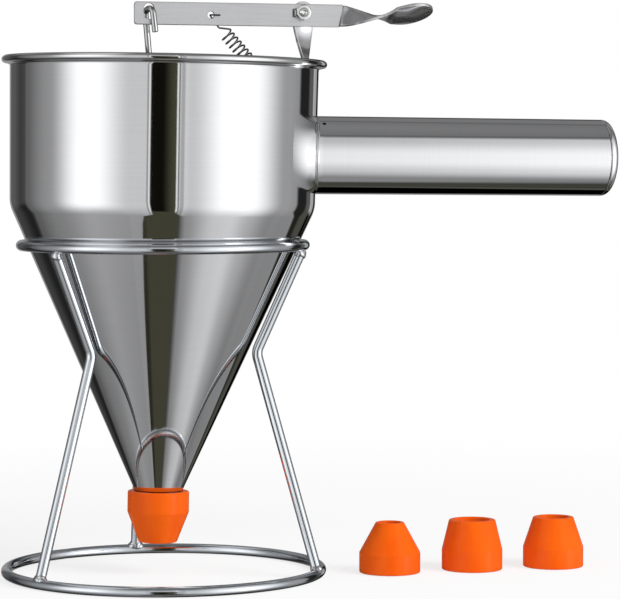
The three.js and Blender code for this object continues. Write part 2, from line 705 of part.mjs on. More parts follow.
// Hexagon with its corners turned off, and a bore that clears the screw.
function pivotNut() {
  const corner = NUT_ACROSS_FLATS / Math.sqrt(3);
  const hexagon = new THREE.CylinderGeometry(corner, corner, NUT_HEIGHT, 6);
  hexagon.rotateX(Math.PI / 2);
  hexagon.rotateZ(NUT_TURN);
  const flat = NUT_ACROSS_FLATS / 2;
  const chamfer = corner - flat;
  const half = NUT_HEIGHT / 2;
  const turned = [
    at(0, -half),
    at(flat, -half),
    at(corner, -half + chamfer),
    at(corner, half - chamfer),
    at(flat, half),
    at(0, half),
  ];
  const bodySolid = toManifold(closeSurface(hexagon)).intersect(toManifold(revolve(turned, COLLAR_SIDES)));
  const reach = at(0, 0, half + CUT_OVERRUN);
  const drill = bar(reach.clone().negate(), reach, SCREW_DIAMETER + 2 * SEAT_GAP);
  return onPivot(cut(fromManifold(bodySolid), drill).translate(0, 0, nutMiddle));
}

// The stopper's seat follows the cone's bore, and its nose reaches down into the collar.
const plugSeatLow = coneEndHeight + PLUG_SEAT_START;
const plugSeatHigh = plugSeatLow + PLUG_SEAT_HEIGHT;
const plugTop = plugSeatHigh + PLUG_SHOULDER_HEIGHT + PLUG_BOSS_HEIGHT;
const socketBottom = plugTop - SOCKET_DEPTH;
const seatInset = SEAT_GAP / Math.cos(CONE_HALF_ANGLE);

function stopper() {
  const socket = ROD_DIAMETER / 2 + SEAT_GAP;
  const lowRadius = coneBoreRadius(plugSeatLow) - seatInset;
  const highRadius = coneBoreRadius(plugSeatHigh) - seatInset;
  const noseTop = at(Math.min(lowRadius, SPOUT_RADIUS - COLLAR_WALL - 2 * SEAT_GAP), coneEndHeight);
  const nose = arc(
    at(0, noseTop.y - PLUG_NOSE_DROP / 2),
    PLUG_NOSE_RADIUS,
    PLUG_NOSE_DROP,
    -Math.PI / 2,
    0,
  );
  nose[0].x = 0;
  return revolve([
    ...nose,
    noseTop,
    at(lowRadius, plugSeatLow),
    at(highRadius, plugSeatHigh),
    at(PLUG_BOSS_RADIUS, plugSeatHigh + PLUG_SHOULDER_HEIGHT),
    at(PLUG_BOSS_RADIUS, plugTop),
    at(socket, plugTop),
    at(socket, socketBottom),
    at(0, socketBottom),
  ], COLLAR_SIDES);
}

// The rod stands in the stopper on the funnel's axis, cranks over to the lever's tail and hooks
// through its hole from behind.
function pullRod() {
  const hookRun = at(Math.sin(HOOK_TURN), -Math.cos(HOOK_TURN));
  const behind = rodHole.clone().addScaledVector(hookRun, -HOOK_HALF_WIDTH).add(at(0, 0, -HOOK_RISE));
  const before = rodHole.clone().addScaledVector(hookRun, HOOK_HALF_WIDTH).add(at(0, 0, HOOK_RISE));
  const legRun = at(Math.sin(HOOK_LEAN), 0, -Math.cos(HOOK_LEAN));
  const legEnd = before.clone().addScaledVector(legRun, HOOK_LEG);
  const corners = [
    at(0, 0, socketBottom + SEAT_GAP),
    at(0, 0, rimHeight - ROD_CRANK_BELOW_RIM),
    behind,
    before,
    legEnd,
  ];
  return wire(roundCorners(corners, [ROD_CRANK_BEND, HOOK_BEND, HOOK_BEND]), ROD_DIAMETER);
}

// Centre line of the return spring: a hook through the lever from in front, an open coil, and a tail
// through the bracket's tab.
function springPath() {
  const standOff = STRIP_THICKNESS / 2 + SEAT_GAP + SPRING_WIRE / 2;
  const coilStart = at(springHole.x + COIL_PAST_HOLE, -COIL_FORWARD, springHole.z - COIL_BELOW_HOLE);
  const run = tabHole.clone().sub(coilStart);
  const coilLength = COIL_TURNS * COIL_PITCH;
  const axis = run.clone().normalize();
  const sideways = axis.clone().cross(Z_AXIS).normalize();
  const upward = sideways.clone().cross(axis);
  const coil = [];
  for (let step = 0; step <= COIL_TURNS * COIL_STEPS; step += 1) {
    const angle = (step / COIL_STEPS) * 2 * Math.PI;
    const place = coilStart.clone().addScaledVector(axis, (coilLength * step) / (COIL_TURNS * COIL_STEPS));
    place.addScaledVector(upward, COIL_RADIUS * Math.cos(angle));
    coil.push(place.addScaledVector(sideways, COIL_RADIUS * Math.sin(angle)));
  }
  const front = springHole.clone().add(at(0, -standOff));
  const back = springHole.clone().add(at(0, standOff));
  const elbow = at(springHole.x + SPRING_ELBOW_REACH, back.y, springHole.z - SPRING_ELBOW_DROP);
  const hook = roundCorners(
    [front.clone().add(at(SPRING_FRONT_TAIL, 0)), front, back, elbow, coil[0]],
    [SPRING_BEND, SPRING_BEND, SPRING_BEND],
    FINE_BEND_STEPS,
  );
  const through = tabHole.clone().addScaledVector(tabNormal, standOff);
  const tail = roundCorners(
    [
      coil[coil.length - 1],
      tabHole.clone().addScaledVector(tabNormal, -COIL_LEAD),
      through,
      through.clone().addScaledVector(tabRun, SPRING_TAB_TAIL),
    ],
    [SPRING_BEND, SPRING_BEND],
    FINE_BEND_STEPS,
  );
  return [...hook.slice(0, -1), ...coil, ...tail.slice(1)];
}

// The least gap of the spring's wire to itself, over points more than a few diameters apart along it.
function leastGap(path, diameter) {
  const reach = [0];
  for (let i = 1; i < path.length; i += 1) {
    reach.push(reach[i - 1] + path[i].distanceTo(path[i - 1]));
  }
  let least = Infinity;
  for (let i = 0; i < path.length; i += 1) {
    for (let j = i + 1; j < path.length; j += 1) {
      if (reach[j] - reach[i] > NEIGHBOUR_DIAMETERS * diameter) {
        least = Math.min(least, path[i].distanceTo(path[j]) - diameter);
      }
    }
  }
  return least;
}

// One unbroken tube along the path, its rings carried from point to point without twist.
function returnSpring() {
  const path = springPath();
  console.log('return spring, least gap to itself in mm:', leastGap(path, SPRING_WIRE).toFixed(2));
  const route = new BentWire(path);
  let side = new THREE.Vector3();
  const rings = path.map((centre, i) => {
    const tangent = route.getTangentAt(i / (path.length - 1));
    if (i === 0) side = Z_AXIS.clone();
    side.addScaledVector(tangent, -side.dot(tangent)).normalize();
    const other = tangent.clone().cross(side);
    const ring = [];
    for (let j = 0; j < SPRING_SIDES; j += 1) {
      const angle = (j / SPRING_SIDES) * 2 * Math.PI;
      const arm = side.clone().multiplyScalar(Math.cos(angle)).addScaledVector(other, Math.sin(angle));
      ring.push(centre.clone().addScaledVector(arm, SPRING_WIRE / 2));
    }
    return ring;
  });
  return loft(rings);
}

// A nozzle standing on its wide end: a straight skirt that fits the collar, a taper and a round mouth.
function nozzle(mouthRadius) {
  const bore = SPOUT_RADIUS + SEAT_GAP;
  const mouthBore = mouthRadius * MOUTH_BORE_SHARE;
  const corners = [
    at(NOZZLE_LEAD_RADIUS, 0),
    at(NOZZLE_RADIUS, 0),
    at(NOZZLE_RADIUS, NOZZLE_STRAIGHT),
    at(mouthRadius, NOZZLE_HEIGHT),
    at(mouthBore, NOZZLE_HEIGHT),
    at(mouthBore, NOZZLE_HEIGHT - NOZZLE_MOUTH_LAND),
    at(bore, NOZZLE_STRAIGHT),
    at(bore, NOZZLE_LEAD_DEPTH),
  ];
  const edge = NOZZLE_EDGE;
  const bends = [edge, 2 * edge, edge, edge / 2, 0, 0];
  return revolve(roundCorners(corners, bends, EDGE_STEPS), NOZZLE_SIDES);
}

const stand = new THREE.Group();
stand.add(piece('base_ring', baseRing(), CHROME));
stand.add(piece('upper_ring', upperRing(), CHROME));
const LEG_NAMES = ['leg_front_right', 'leg_back', 'leg_front_left'];
for (let i = 0; i < LEG_COUNT; i += 1) {
  const angle = FIRST_LEG_ANGLE + (i * 2 * Math.PI) / LEG_COUNT;
  stand.add(piece(LEG_NAMES[i], leg(angle, FOOT_SKEWS[i]), CHROME));
}

const funnel = new THREE.Group();
funnel.add(piece('funnel_shell', funnelShell(), STEEL));
funnel.add(piece('spout_collar', spoutCollar(), STEEL));
funnel.add(piece('handle_tube', handleTube(), STEEL));
funnel.add(piece('handle_end_cap', handleEndCap(), STEEL));
funnel.add(piece('lever_bracket', leverBracket(), STEEL));
funnel.add(piece('pivot_screw', pivotScrew(), CHROME));
funnel.add(piece('pivot_washer', pivotWasher(), STEEL));
funnel.add(piece('pivot_nut', pivotNut(), CHROME));
funnel.add(piece('stopper', stopper(), STEEL));
funnel.add(piece('pull_rod', pullRod(), STEEL));
funnel.add(piece('return_spring', returnSpring(), SPRING_STEEL));

const lever = piece('thumb_lever', thumbLever(), STEEL);
lever.position.copy(onLever(0, 0));
lever.rotation.y = -LEVER_REST_RISE;
funnel.add(lever);

const fitted = piece('fitted_nozzle', nozzle(FITTED_MOUTH_RADIUS), ORANGE);
fitted.position.z = coneEndHeight - SEAT_GAP;
fitted.rotation.x = Math.PI;
funnel.add(fitted);

// The funnel turns about the point where the lines square to its seat meet, so it keeps its seat.
const tipped = new THREE.Group();
funnel.position.z = -tipCentreHeight;
tipped.add(funnel);
tipped.position.z = tipCentreHeight;
tipped.rotation.y = TIP_ANGLE;

const dispenser = new THREE.Group();
dispenser.add(stand, tipped);
SPARE_MOUTH_RADII.forEach((mouthRadius, i) => {
  const spare = piece(`spare_nozzle_${i + 1}`, nozzle(mouthRadius), ORANGE);
  spare.position.set(SPARE_ROW_START + i * SPARE_SPACING, SPARE_ROW_OFFSET, 0);
  dispenser.add(spare);
});

const bounds = new THREE.Box3().setFromObject(dispenser, true);
const middle = bounds.getCenter(new THREE.Vector3());
dispenser.position.set(-middle.x, -middle.y, -bounds.min.z);

const product = new THREE.Group();
product.add(dispenser);

export default product;
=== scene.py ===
# The visual model of a funnel dispenser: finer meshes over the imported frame, their finishes and
# the studio. Meshes are written in millimetres and placed in metres, in the frame's own axes.
from math import atan2, ceil, cos, degrees, exp, hypot, pi, radians, sin, sqrt, tan

import bmesh
import bpy
from mathutils import Matrix, Vector


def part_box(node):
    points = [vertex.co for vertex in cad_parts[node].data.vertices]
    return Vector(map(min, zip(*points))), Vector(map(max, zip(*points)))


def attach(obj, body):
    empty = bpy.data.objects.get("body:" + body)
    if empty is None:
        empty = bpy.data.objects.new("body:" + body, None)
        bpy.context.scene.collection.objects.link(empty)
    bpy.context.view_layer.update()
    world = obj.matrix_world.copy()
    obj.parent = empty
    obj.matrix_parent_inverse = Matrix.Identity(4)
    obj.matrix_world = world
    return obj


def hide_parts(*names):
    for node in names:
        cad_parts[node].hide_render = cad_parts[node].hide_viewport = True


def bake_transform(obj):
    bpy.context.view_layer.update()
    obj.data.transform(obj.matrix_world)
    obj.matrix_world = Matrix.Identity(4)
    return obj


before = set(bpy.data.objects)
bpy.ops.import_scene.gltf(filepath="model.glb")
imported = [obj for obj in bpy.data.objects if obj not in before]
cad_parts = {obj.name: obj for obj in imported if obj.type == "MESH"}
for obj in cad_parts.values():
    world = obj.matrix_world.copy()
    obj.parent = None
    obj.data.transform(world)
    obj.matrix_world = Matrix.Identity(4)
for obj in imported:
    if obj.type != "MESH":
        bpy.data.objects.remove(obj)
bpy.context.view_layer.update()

# Sizes of the wire stand. WIRE is the wire's radius, and the rings' radii reach its middle.
WIRE = 2.5
LAND_ANGLE = radians(18)
BASE_RING = 76.0
BASE_HEIGHT = WIRE * cos(LAND_ANGLE)
UPPER_RING = 68.1
UPPER_HEIGHT = 159.3
KNEE_RADIUS = 46.3
KNEE_HEIGHT = 108.3
# The direction of each leg, and how far its foot is turned out of it, in degrees.
LEGS = {"leg_front_right": (-28.8, 1.8), "leg_back": (91.2, -2.5), "leg_front_left": (211.2, -3.3)}

# Sizes of the funnel. Radii are those of its outer face; SHEET is how thick the sheet is.
SHEET = 0.8
CONE_ANGLE = radians(24.3)
CONE_SLOPE = tan(CONE_ANGLE)
SHOULDER = 73.25
WALL_TOP = 74.0
WALL_HEIGHT = 71.2
RIM = 78.0
LIP = 3.5
SPOUT = 11.45
TIP_ANGLE = radians(1.0)
SEAT_GAP = 0.3

SEAT_RADIUS = UPPER_RING - (WIRE + SEAT_GAP) / cos(CONE_ANGLE)
SHOULDER_Z = UPPER_HEIGHT + (SHOULDER - SEAT_RADIUS) / CONE_SLOPE
CONE_END_Z = UPPER_HEIGHT - (SEAT_RADIUS - SPOUT) / CONE_SLOPE
RIM_Z = SHOULDER_Z + WALL_HEIGHT
LIP_Z = RIM_Z - LIP
TIP_CENTRE_Z = UPPER_HEIGHT + UPPER_RING * CONE_SLOPE


def wall_radius(z):
    return SHOULDER + (z - SHOULDER_Z) * (WALL_TOP - SHOULDER) / (LIP_Z - SHOULDER_Z)


# Sizes of the handle and its cap. HANDLE is the tube's radius.
HANDLE = 19.0
HANDLE_WALL = 1.0
HANDLE_DROP = 45.0
HANDLE_Z = RIM_Z - HANDLE_DROP
HANDLE_LENGTH = 153.2
HANDLE_RISE = radians(0.47)
CAP_BEND = 3.8
CAP_SKIRT = 0.5
CAP_SEAT = HANDLE_LENGTH - CAP_BEND - CAP_SKIRT

# The lever's strip and its pivot. Places along the strip are measured from the pivot's middle.
PIVOT_INSET, PIVOT_RISE = 6.6, 23.7
PIVOT = Vector((WALL_TOP - SHEET - PIVOT_INSET, 0.0, RIM_Z + PIVOT_RISE))
PIVOT_HOLE = 2.3
STRIP = 1.5
HALF_STRIP = STRIP / 2
STRIP_WIDTH = 11.1
LEVER_Y = -2.9
LEVER_RISE = radians(0.8)
LEVER_TAIL = -82.5
ROD_HOLE = (-75.4, 1.0)
ROD_HOLE_RADIUS, ROD_HOLE_DROP = 2.5, 2.6
SPRING_HOLE = (-45.1, -1.7)
SPRING_HOLE_RADIUS = 1.7
TWIST_START, TWIST_LENGTH = 19.6, 27.0
NECK_END, RISE_START = 38.6, 39.6
PADDLE_MIDDLE, PADDLE_TIP, PADDLE_WIDTH = 55.1, 66.4, 18.8

# The bracket and the bent tab at its foot.
BRACKET_WIDTH = 10.4
TAB_DEPTH = 23.6
TAB_LENGTH = 9.6
TAB_ANGLE = radians(46)
TAB_HOLE_RADIUS, TAB_HOLE_ALONG, TAB_HOLE_ASIDE = 1.3, 5.4, 2.4
WELD_GAP = 0.3
BRACKET_HALF = BRACKET_WIDTH / 2
TAB_WALL = wall_radius(LIP_Z - TAB_DEPTH) - SHEET
BRACKET_X = sqrt(TAB_WALL**2 - BRACKET_HALF**2) - WELD_GAP - HALF_STRIP
TAB_CORNER = Vector((BRACKET_X, 0, RIM_Z - TAB_DEPTH))
TAB_RUN = Vector((-sin(TAB_ANGLE), 0, -cos(TAB_ANGLE)))
TAB_NORMAL = Vector((cos(TAB_ANGLE), 0, -sin(TAB_ANGLE)))
TAB_HOLE = TAB_CORNER + TAB_RUN * TAB_HOLE_ALONG + Vector((0, TAB_HOLE_ASIDE, 0))

# Places along the pivot, from the bracket's middle towards the nut.
SCREW = 2.0
PLAY, NUT_PLAY = 0.3, 0.1
HALF_WASHER = 0.4
NUT_HEIGHT = 4.2
WASHER_MIDDLE = HALF_STRIP + PLAY + HALF_WASHER
NUT_LOW = -LEVER_Y + HALF_STRIP + NUT_PLAY
NUT_HIGH = -LEVER_Y + HALF_STRIP + PLAY + NUT_HEIGHT
SCREW_END = NUT_HIGH + 1.0

# Heights of the stopper: its taper, its neck and the socket that takes the rod.
COLLAR_WALL = 1.25
TAPER_START, TAPER_HEIGHT, NECK_HEIGHT, SOCKET_DEPTH = 2.0, 9.0, 8.0, 9.0
PLUG_LOW = CONE_END_Z + TAPER_START
PLUG_HIGH = PLUG_LOW + TAPER_HEIGHT
PLUG_TOP = PLUG_HIGH + NECK_HEIGHT
SOCKET = PLUG_TOP - SOCKET_DEPTH

# Where the pieces' own axes are in the frame. The funnel leans about the point where the
# normals of its seat on the upper ring meet.
MILLIMETRE = 0.001
STAND_X = sum(corner.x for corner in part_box("base_ring")) / 2
STAND = Matrix.Translation((STAND_X, 0, 0)) @ Matrix.Scale(MILLIMETRE, 4)
FUNNEL = (
    STAND
    @ Matrix.Translation((0, 0, TIP_CENTRE_Z))
    @ Matrix.Rotation(TIP_ANGLE, 4, "Y")
    @ Matrix.Translation((0, 0, -TIP_CENTRE_Z))
)
CROSSWISE = Matrix.Rotation(pi / 2, 4, "X")
ON_PIVOT = FUNNEL @ Matrix.Translation(PIVOT) @ CROSSWISE
LEVER_SHIFT = Matrix.Translation(PIVOT + Vector((0, LEVER_Y, 0)))
LEVER = FUNNEL @ LEVER_SHIFT @ Matrix.Rotation(-LEVER_RISE, 4, "Y")
GRIP_TURN = pi / 2 - HANDLE_RISE
GRIP_START = Vector((wall_radius(HANDLE_Z), 0, HANDLE_Z))
GRIP = FUNNEL @ Matrix.Translation(GRIP_START) @ Matrix.Rotation(GRIP_TURN, 4, "Y")


def smooth(share):
    share = min(max(share, 0.0), 1.0)
    return share * share * (3 - 2 * share)


def mix(a, b, share):
    return a + (b - a) * share


def turns(count):
    """Evenly spaced angles of one whole turn."""
    return [2 * pi * i / count for i in range(count)]


def flat(points):
    return [(point.x, point.y) for point in points]


UP = Vector((0, 0, 1))


# Finishes.
class Value:
    """A number that varies over a surface, so that shader maths reads as an expression."""

    def __init__(self, graph, socket):
        self.graph = graph
        self.socket = socket

    def __add__(self, other):
        return self.graph.maths("ADD", self, other)

    def __sub__(self, other):
        return self.graph.maths("SUBTRACT", self, other)

    def __rsub__(self, other):
        return self.graph.maths("SUBTRACT", other, self)

    def __mul__(self, other):
        return self.graph.maths("MULTIPLY", self, other)

    def __truediv__(self, other):
        return self.graph.maths("DIVIDE", self, other)

    def step(self, start, end, low=0.0, high=1.0):
        """low before start, high after end, and a smooth rise between them."""
        made = self.graph.node(
            "ShaderNodeMapRange",
            {"interpolation_type": "SMOOTHSTEP"},
            {"Value": self, "From Min": start, "From Max": end, "To Min": low, "To Max": high},
        )
        return Value(self.graph, made.outputs["Result"])

    def band(self, start, end, soft):
        """1 between start and end, falling to 0 over the soft width outside them."""
        return self.step(start - soft, start) * self.step(end, end + soft, 1.0, 0.0)


class Graph:
    """The node tree of one material or of the world."""

    def __init__(self, owner):
        owner.use_nodes = True
        self.tree = owner.node_tree
        self.tree.nodes.clear()

    def node(self, kind, settings=None, inputs=None):
        made = self.tree.nodes.new(kind)
        for key, value in (settings or {}).items():
            setattr(made, key, value)
        for key, value in (inputs or {}).items():
            socket = made.inputs[key]
            if isinstance(value, Value):
                value = value.socket
            if isinstance(value, bpy.types.NodeSocket):
                self.tree.links.new(value, socket)
            else:
                socket.default_value = value
        return made

    def maths(self, operation, *values):
        made = self.node("ShaderNodeMath", {"operation": operation}, dict(enumerate(values)))
        return Value(self, made.outputs[0])

    def vector_maths(self, operation, *values):
        settings = {"operation": operation}
        return self.node("ShaderNodeVectorMath", settings, dict(enumerate(values))).outputs

    def coordinates(self, kind):
        return self.node("ShaderNodeTexCoord").outputs[kind]

    def ray(self, kind):
        """1 for rays of one kind, and 0 for the others."""
        return Value(self, self.node("ShaderNodeLightPath").outputs[kind])

    def noise(self, stretch, detail=2.0, roughness=0.5):
        """Noise from 0 to 1 whose grains are as long as stretch says, in millimetres."""
        scale = [1.0 / MILLIMETRE / length for length in stretch]
        place = self.vector_maths("MULTIPLY", self.coordinates("Object"), scale)[0]
        made = self.node(
            "ShaderNodeTexNoise",
            {"noise_dimensions": "3D"},
            {"Vector": place, "Scale": 1.0, "Detail": detail, "Roughness": roughness},
        )
        return Value(self, made.outputs["Fac"])

    def blend(self, share, first, second):
        inputs = {"Factor": share, "A": (*first, 1), "B": (*second, 1)}
        return self.node("ShaderNodeMix", {"data_type": "RGBA"}, inputs).outputs["Result"]

    def bump(self, height, depth, strength=1.0):
        inputs = {"Height": height, "Distance": depth, "Strength": strength}
        return self.node("ShaderNodeBump", None, inputs).outputs["Normal"]

    def shader(self, kind, **inputs):
        inputs = {key.replace("_", " "): value for key, value in inputs.items()}
        return self.node(f"ShaderNode{kind}", None, inputs).outputs[0]

    def mixed(self, share, first, second):
        """A shader that turns from the first to the second as the share rises."""
        return self.node("ShaderNodeMixShader", None, {0: share, 1: first, 2: second}).outputs[0]

    def finish(self, kind, shader):
        self.node(f"ShaderNodeOutput{kind}", None, {"Surface": shader})


def new_material(name):
    material = bpy.data.materials.new(name)
    return material, Graph(material)


NOISE_MIDDLE = 0.5
NOISE_REACH = (0.3, 0.7)
CLOUD = 40.0


def metal(slot, name, colour, shade, roughness, spread, grain, depth, haze=0.0):
    """A slot of the part, and the bare metal that shows it.

    grain is the length of the polishing or drawing marks along each axis, in millimetres, depth
    is how deep they are, in metres, and spread is how far the roughness strays.
    """
    material, graph = new_material(name)
    marks = graph.noise(grain, detail=3.0, roughness=0.6)
    cloud = graph.noise((CLOUD, CLOUD, CLOUD), detail=2.0)
    tone = (marks * 0.5 + cloud * 0.5).step(*NOISE_REACH)
    fine = (marks - NOISE_MIDDLE) * spread
    broad = (cloud - NOISE_MIDDLE) * (spread * 0.6)
    shader = graph.shader(
        "BsdfPrincipled",
        Base_Color=graph.blend(tone, colour, shade),
        Metallic=1.0 - haze,
        Roughness=fine + broad + roughness,
        Normal=graph.bump(marks, depth),
    )
    graph.finish("Material", shader)
    return slot, material


def plastic(slot, name, colour, shade, roughness):
    """Moulded plastic: a faint flow through the colour and a fine satin skin."""
    material, graph = new_material(name)
    flow = graph.noise((9.0, 9.0, 26.0), detail=3.0)
    skin = graph.noise((0.35, 0.35, 0.35), detail=2.0)
    fine = (skin - NOISE_MIDDLE) * 0.12
    broad = (flow - NOISE_MIDDLE) * 0.06
    shader = graph.shader(
        "BsdfPrincipled",
        Base_Color=graph.blend(flow.step(*NOISE_REACH), colour, shade),
        Roughness=fine + broad + roughness,
        Normal=graph.bump(skin, 2e-5, strength=0.35),
        IOR=1.46,
        Specular_IOR_Level=0.18,
    )
    graph.finish("Material", shader)
    return slot, material


POLISHED = metal(
    "polished_steel", "polished_steel", (0.70, 0.70, 0.705), (0.73, 0.73, 0.735),
    roughness=0.045, spread=0.006, grain=(60.0, 60.0, 0.6), depth=8e-8,
)
HANDLE_STEEL = metal(
    "polished_steel", "handle_steel", (0.89, 0.89, 0.90), (0.92, 0.92, 0.93),
    roughness=0.05, spread=0.02, grain=(0.8, 50.0, 50.0), depth=4e-7,
)
SATIN = metal(
    "satin_steel", "satin_strip", (0.58, 0.58, 0.59), (0.66, 0.66, 0.67),
    roughness=0.15, spread=0.03, grain=(18.0, 0.5, 0.5), depth=1.2e-6, haze=0.12,
)
ROD_STEEL = metal(
    "satin_steel", "rod_steel", (0.40, 0.40, 0.40), (0.52, 0.52, 0.52),
    roughness=0.09, spread=0.05, grain=(0.6, 0.6, 14.0), depth=2e-6,
)
CHROME = metal(
    "chromed_wire", "chromed_wire", (0.65, 0.685, 0.72), (0.72, 0.75, 0.785),
    roughness=0.11, spread=0.03, grain=(8.0, 8.0, 8.0), depth=1e-6,
)
WELD = metal(
    "chromed_wire", "weld_metal", (0.55, 0.56, 0.58), (0.72, 0.73, 0.75),
    roughness=0.16, spread=0.12, grain=(0.9, 0.9, 0.9), depth=6e-5,
)
PLATED = metal(
    "plated_steel", "plated_fastener", (0.76, 0.76, 0.75), (0.84, 0.84, 0.83),
    roughness=0.06, spread=0.04, grain=(0.8, 0.8, 0.8), depth=2e-6,
)
SPRING_STEEL = metal(
    "spring_steel", "spring_wire", (0.17, 0.165, 0.165), (0.25, 0.245, 0.245),
    roughness=0.22, spread=0.10, grain=(0.5, 0.5, 0.5), depth=4e-6,
)
ORANGE = plastic(
    "orange_plastic", "orange_plastic", (0.98, 0.117, 0.001), (1.00, 0.141, 0.002), roughness=0.24
)

# Making meshes. A shape is a pair: its points and its faces.
MERGE_DISTANCE = 1e-7
ON_AXIS = 1e-5


def new_object(name, data):
    made = bpy.data.objects.new(name, data)
    bpy.context.scene.collection.objects.link(made)
    return made


def piece(name, shape, place, body, finish, replaces=(), sharp=32.0):
    """A smooth-shaded mesh of millimetre points set in the frame, riding on a body."""
    verts, faces = shape
    slot, material = finish
    mesh = bpy.data.meshes.new(name)
    mesh.from_pydata([place @ Vector(v) for v in verts], [], faces)
    draft = bmesh.new()
    draft.from_mesh(mesh)
    bmesh.ops.remove_doubles(draft, verts=draft.verts, dist=MERGE_DISTANCE)
    bmesh.ops.recalc_face_normals(draft, faces=draft.faces)
    draft.to_mesh(mesh)
    draft.free()
    made = new_object(name, mesh)
    mesh.materials.append(material)
    shade_smooth(made, sharp)
    if body:
        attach(made, body)
    if replaces:
        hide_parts(*replaces)
    return made


def shade_smooth(made, sharp):
    """Smooth shading, with an edge where faces meet at more than the sharp angle."""
    made.data.polygons.foreach_set("use_smooth", [True] * len(made.data.polygons))
    made.data.set_sharp_from_angle(angle=radians(sharp))


def drill(made, shape, place, sharp=32.0):
    """Cuts a shape out of a piece."""
    tool = piece("tool", shape, place, None, (None, made.data.materials[0]))
    cut = made.modifiers.new("cut", "BOOLEAN")
    cut.operation = "DIFFERENCE"
    cut.solver = "EXACT"
    cut.object = tool
    evaluated = made.evaluated_get(bpy.context.evaluated_depsgraph_get())
    settled = bpy.data.meshes.new_from_object(evaluated)
    made.modifiers.clear()
    settled.name = made.data.name
    made.data = settled
    bpy.data.objects.remove(tool)
    shade_smooth(made, sharp)


def arc(centre, radius, start, end, steps, squash=1.0):
    """Profile points round a centre, from one angle to another in degrees."""
    points = []
    for step in range(steps + 1):
        angle = radians(mix(start, end, step / steps))
        x = centre[0] + radius * cos(angle)
        points.append((x, centre[1] + radius * squash * sin(angle)))
    return points


def bend(points, radii, steps=12):
    """Turns each inner corner of a path into an arc of its radius."""
    points = [Vector(p) for p in points]
    path = [points[0]]
    for before, corner, after, radius in zip(points, points[1:], points[2:], radii):
        if radius == 0:
            path.append(corner)
            continue
        back = (before - corner).normalized()
        ahead = (after - corner).normalized()
        half = back.angle(ahead) / 2
        whole = pi - 2 * half
        centre = corner + (back + ahead).normalized() * (radius / sin(half))
        first = corner + back * (radius / tan(half)) - centre
        last = corner + ahead * (radius / tan(half)) - centre
        for step in range(steps + 1):
            turned = whole * step / steps
            arm = first * (sin(whole - turned) / sin(whole))
            path.append(centre + arm + last * (sin(turned) / sin(whole)))
    path.append(points[-1])
    return path


def divide(path, length):
    """Splits the long runs of a path, so that smooth shading stays true along them."""
    path = [Vector(p) for p in path]
    finer = [path[0]]
    for start, end in zip(path, path[1:]):
        parts = max(1, ceil((end - start).length / length))
        finer += [start.lerp(end, part / parts) for part in range(1, parts + 1)]
    return finer


def offset(path, distance):
    """Moves a profile to its left, with mitred corners."""
    normals = []
    for start, end in zip(path, path[1:]):
        run = (end - start).normalized()
        normals.append(Vector((-run.y, run.x)))
    moved = []
    for i, corner in enumerate(path):
        before = normals[max(i - 1, 0)]
        after = normals[min(i, len(normals) - 1)]
        moved.append(corner + (before + after) * (distance / (1 + before.dot(after))))
    return moved


def axis_ring(reaches, heights):
    """Points round the axis, each with a reach and a height of its own."""
    ring = zip(turns(len(reaches)), reaches, heights)
    return [(reach * cos(angle), reach * sin(angle), z) for angle, reach, z in ring]


def level_ring(radius, height, sides):
    return axis_ring([radius] * sides, [height] * sides)


def lathe(profile, sides, closed=True):
    """A profile of (radius, height) turned round the axis; an open one starts and ends on it."""
    verts, rings, faces = [], [], []
    for radius, height in profile:
        if radius < ON_AXIS:
            rings.append([len(verts)] * sides)
            verts.append((0, 0, height))
        else:
            rings.append(list(range(len(verts), len(verts) + sides)))
            verts += level_ring(radius, height, sides)
    pairs = list(zip(rings, rings[1:]))
    if closed:
        pairs.append((rings[-1], rings[0]))
    for low, high in pairs:
        for i in range(sides):
            j = (i + 1) % sides
            face = list(dict.fromkeys((low[i], low[j], high[j], high[i])))
            if len(face) > 2:
                faces.append(face)
    return verts, faces


def loft(rings, closed_path=False):
    """Joins rings of one count into a skin, with a face over either end."""
    count = len(rings[0])
    verts = [point for ring in rings for point in ring]
    faces = []
    last = len(rings) - 1
    for i in range(last + closed_path):
        low, high = i * count, (i + 1) % len(rings) * count
        for j in range(count):
            k = (j + 1) % count
            faces.append((low + j, low + k, high + k, high + j))
    if not closed_path:
        faces.append(tuple(reversed(range(count))))
        faces.append(tuple(last * count + j for j in range(count)))
    return verts, faces


def wire_ring(centre, across, other, radius, sides):
    return [
        centre + across * (radius * cos(angle)) + other * (radius * sin(angle))
        for angle in turns(sides)
    ]


def sweep(path, radius, sides, eased=0.25):
    """A round wire along a path, with its ends eased."""
    path = [Vector(p) for p in path]
    side = UP
    nearly_parallel = 0.9
    if abs(side.dot((path[1] - path[0]).normalized())) > nearly_parallel:
        side = Vector((1, 0, 0))
    stations = []
    for i, centre in enumerate(path):
        run = (path[min(i + 1, len(path) - 1)] - path[max(i - 1, 0)]).normalized()
        side = (side - run * side.dot(run)).normalized()
        stations.append((centre, side, run.cross(side), run))
    ease = radius * eased
    rings = []

    def add(station, shift, reach):
        centre, across, other, run = station
        rings.append(wire_ring(centre + run * shift, across, other, reach, sides))

    add(stations[0], 0.0, radius - ease)
    add(stations[0], ease, radius)
    for station in stations[1:-1]:
        add(station, 0.0, radius)
    add(stations[-1], -ease, radius)
    add(stations[-1], 0.0, radius - ease)
    return loft(rings)


def joined(*parts):
    """Several meshes in one piece."""
    verts, faces = [], []
    for more_verts, more_faces in parts:
        start = len(verts)
        verts += [Vector(v) for v in more_verts]
        faces += [tuple(i + start for i in face) for face in more_faces]
    return verts, faces


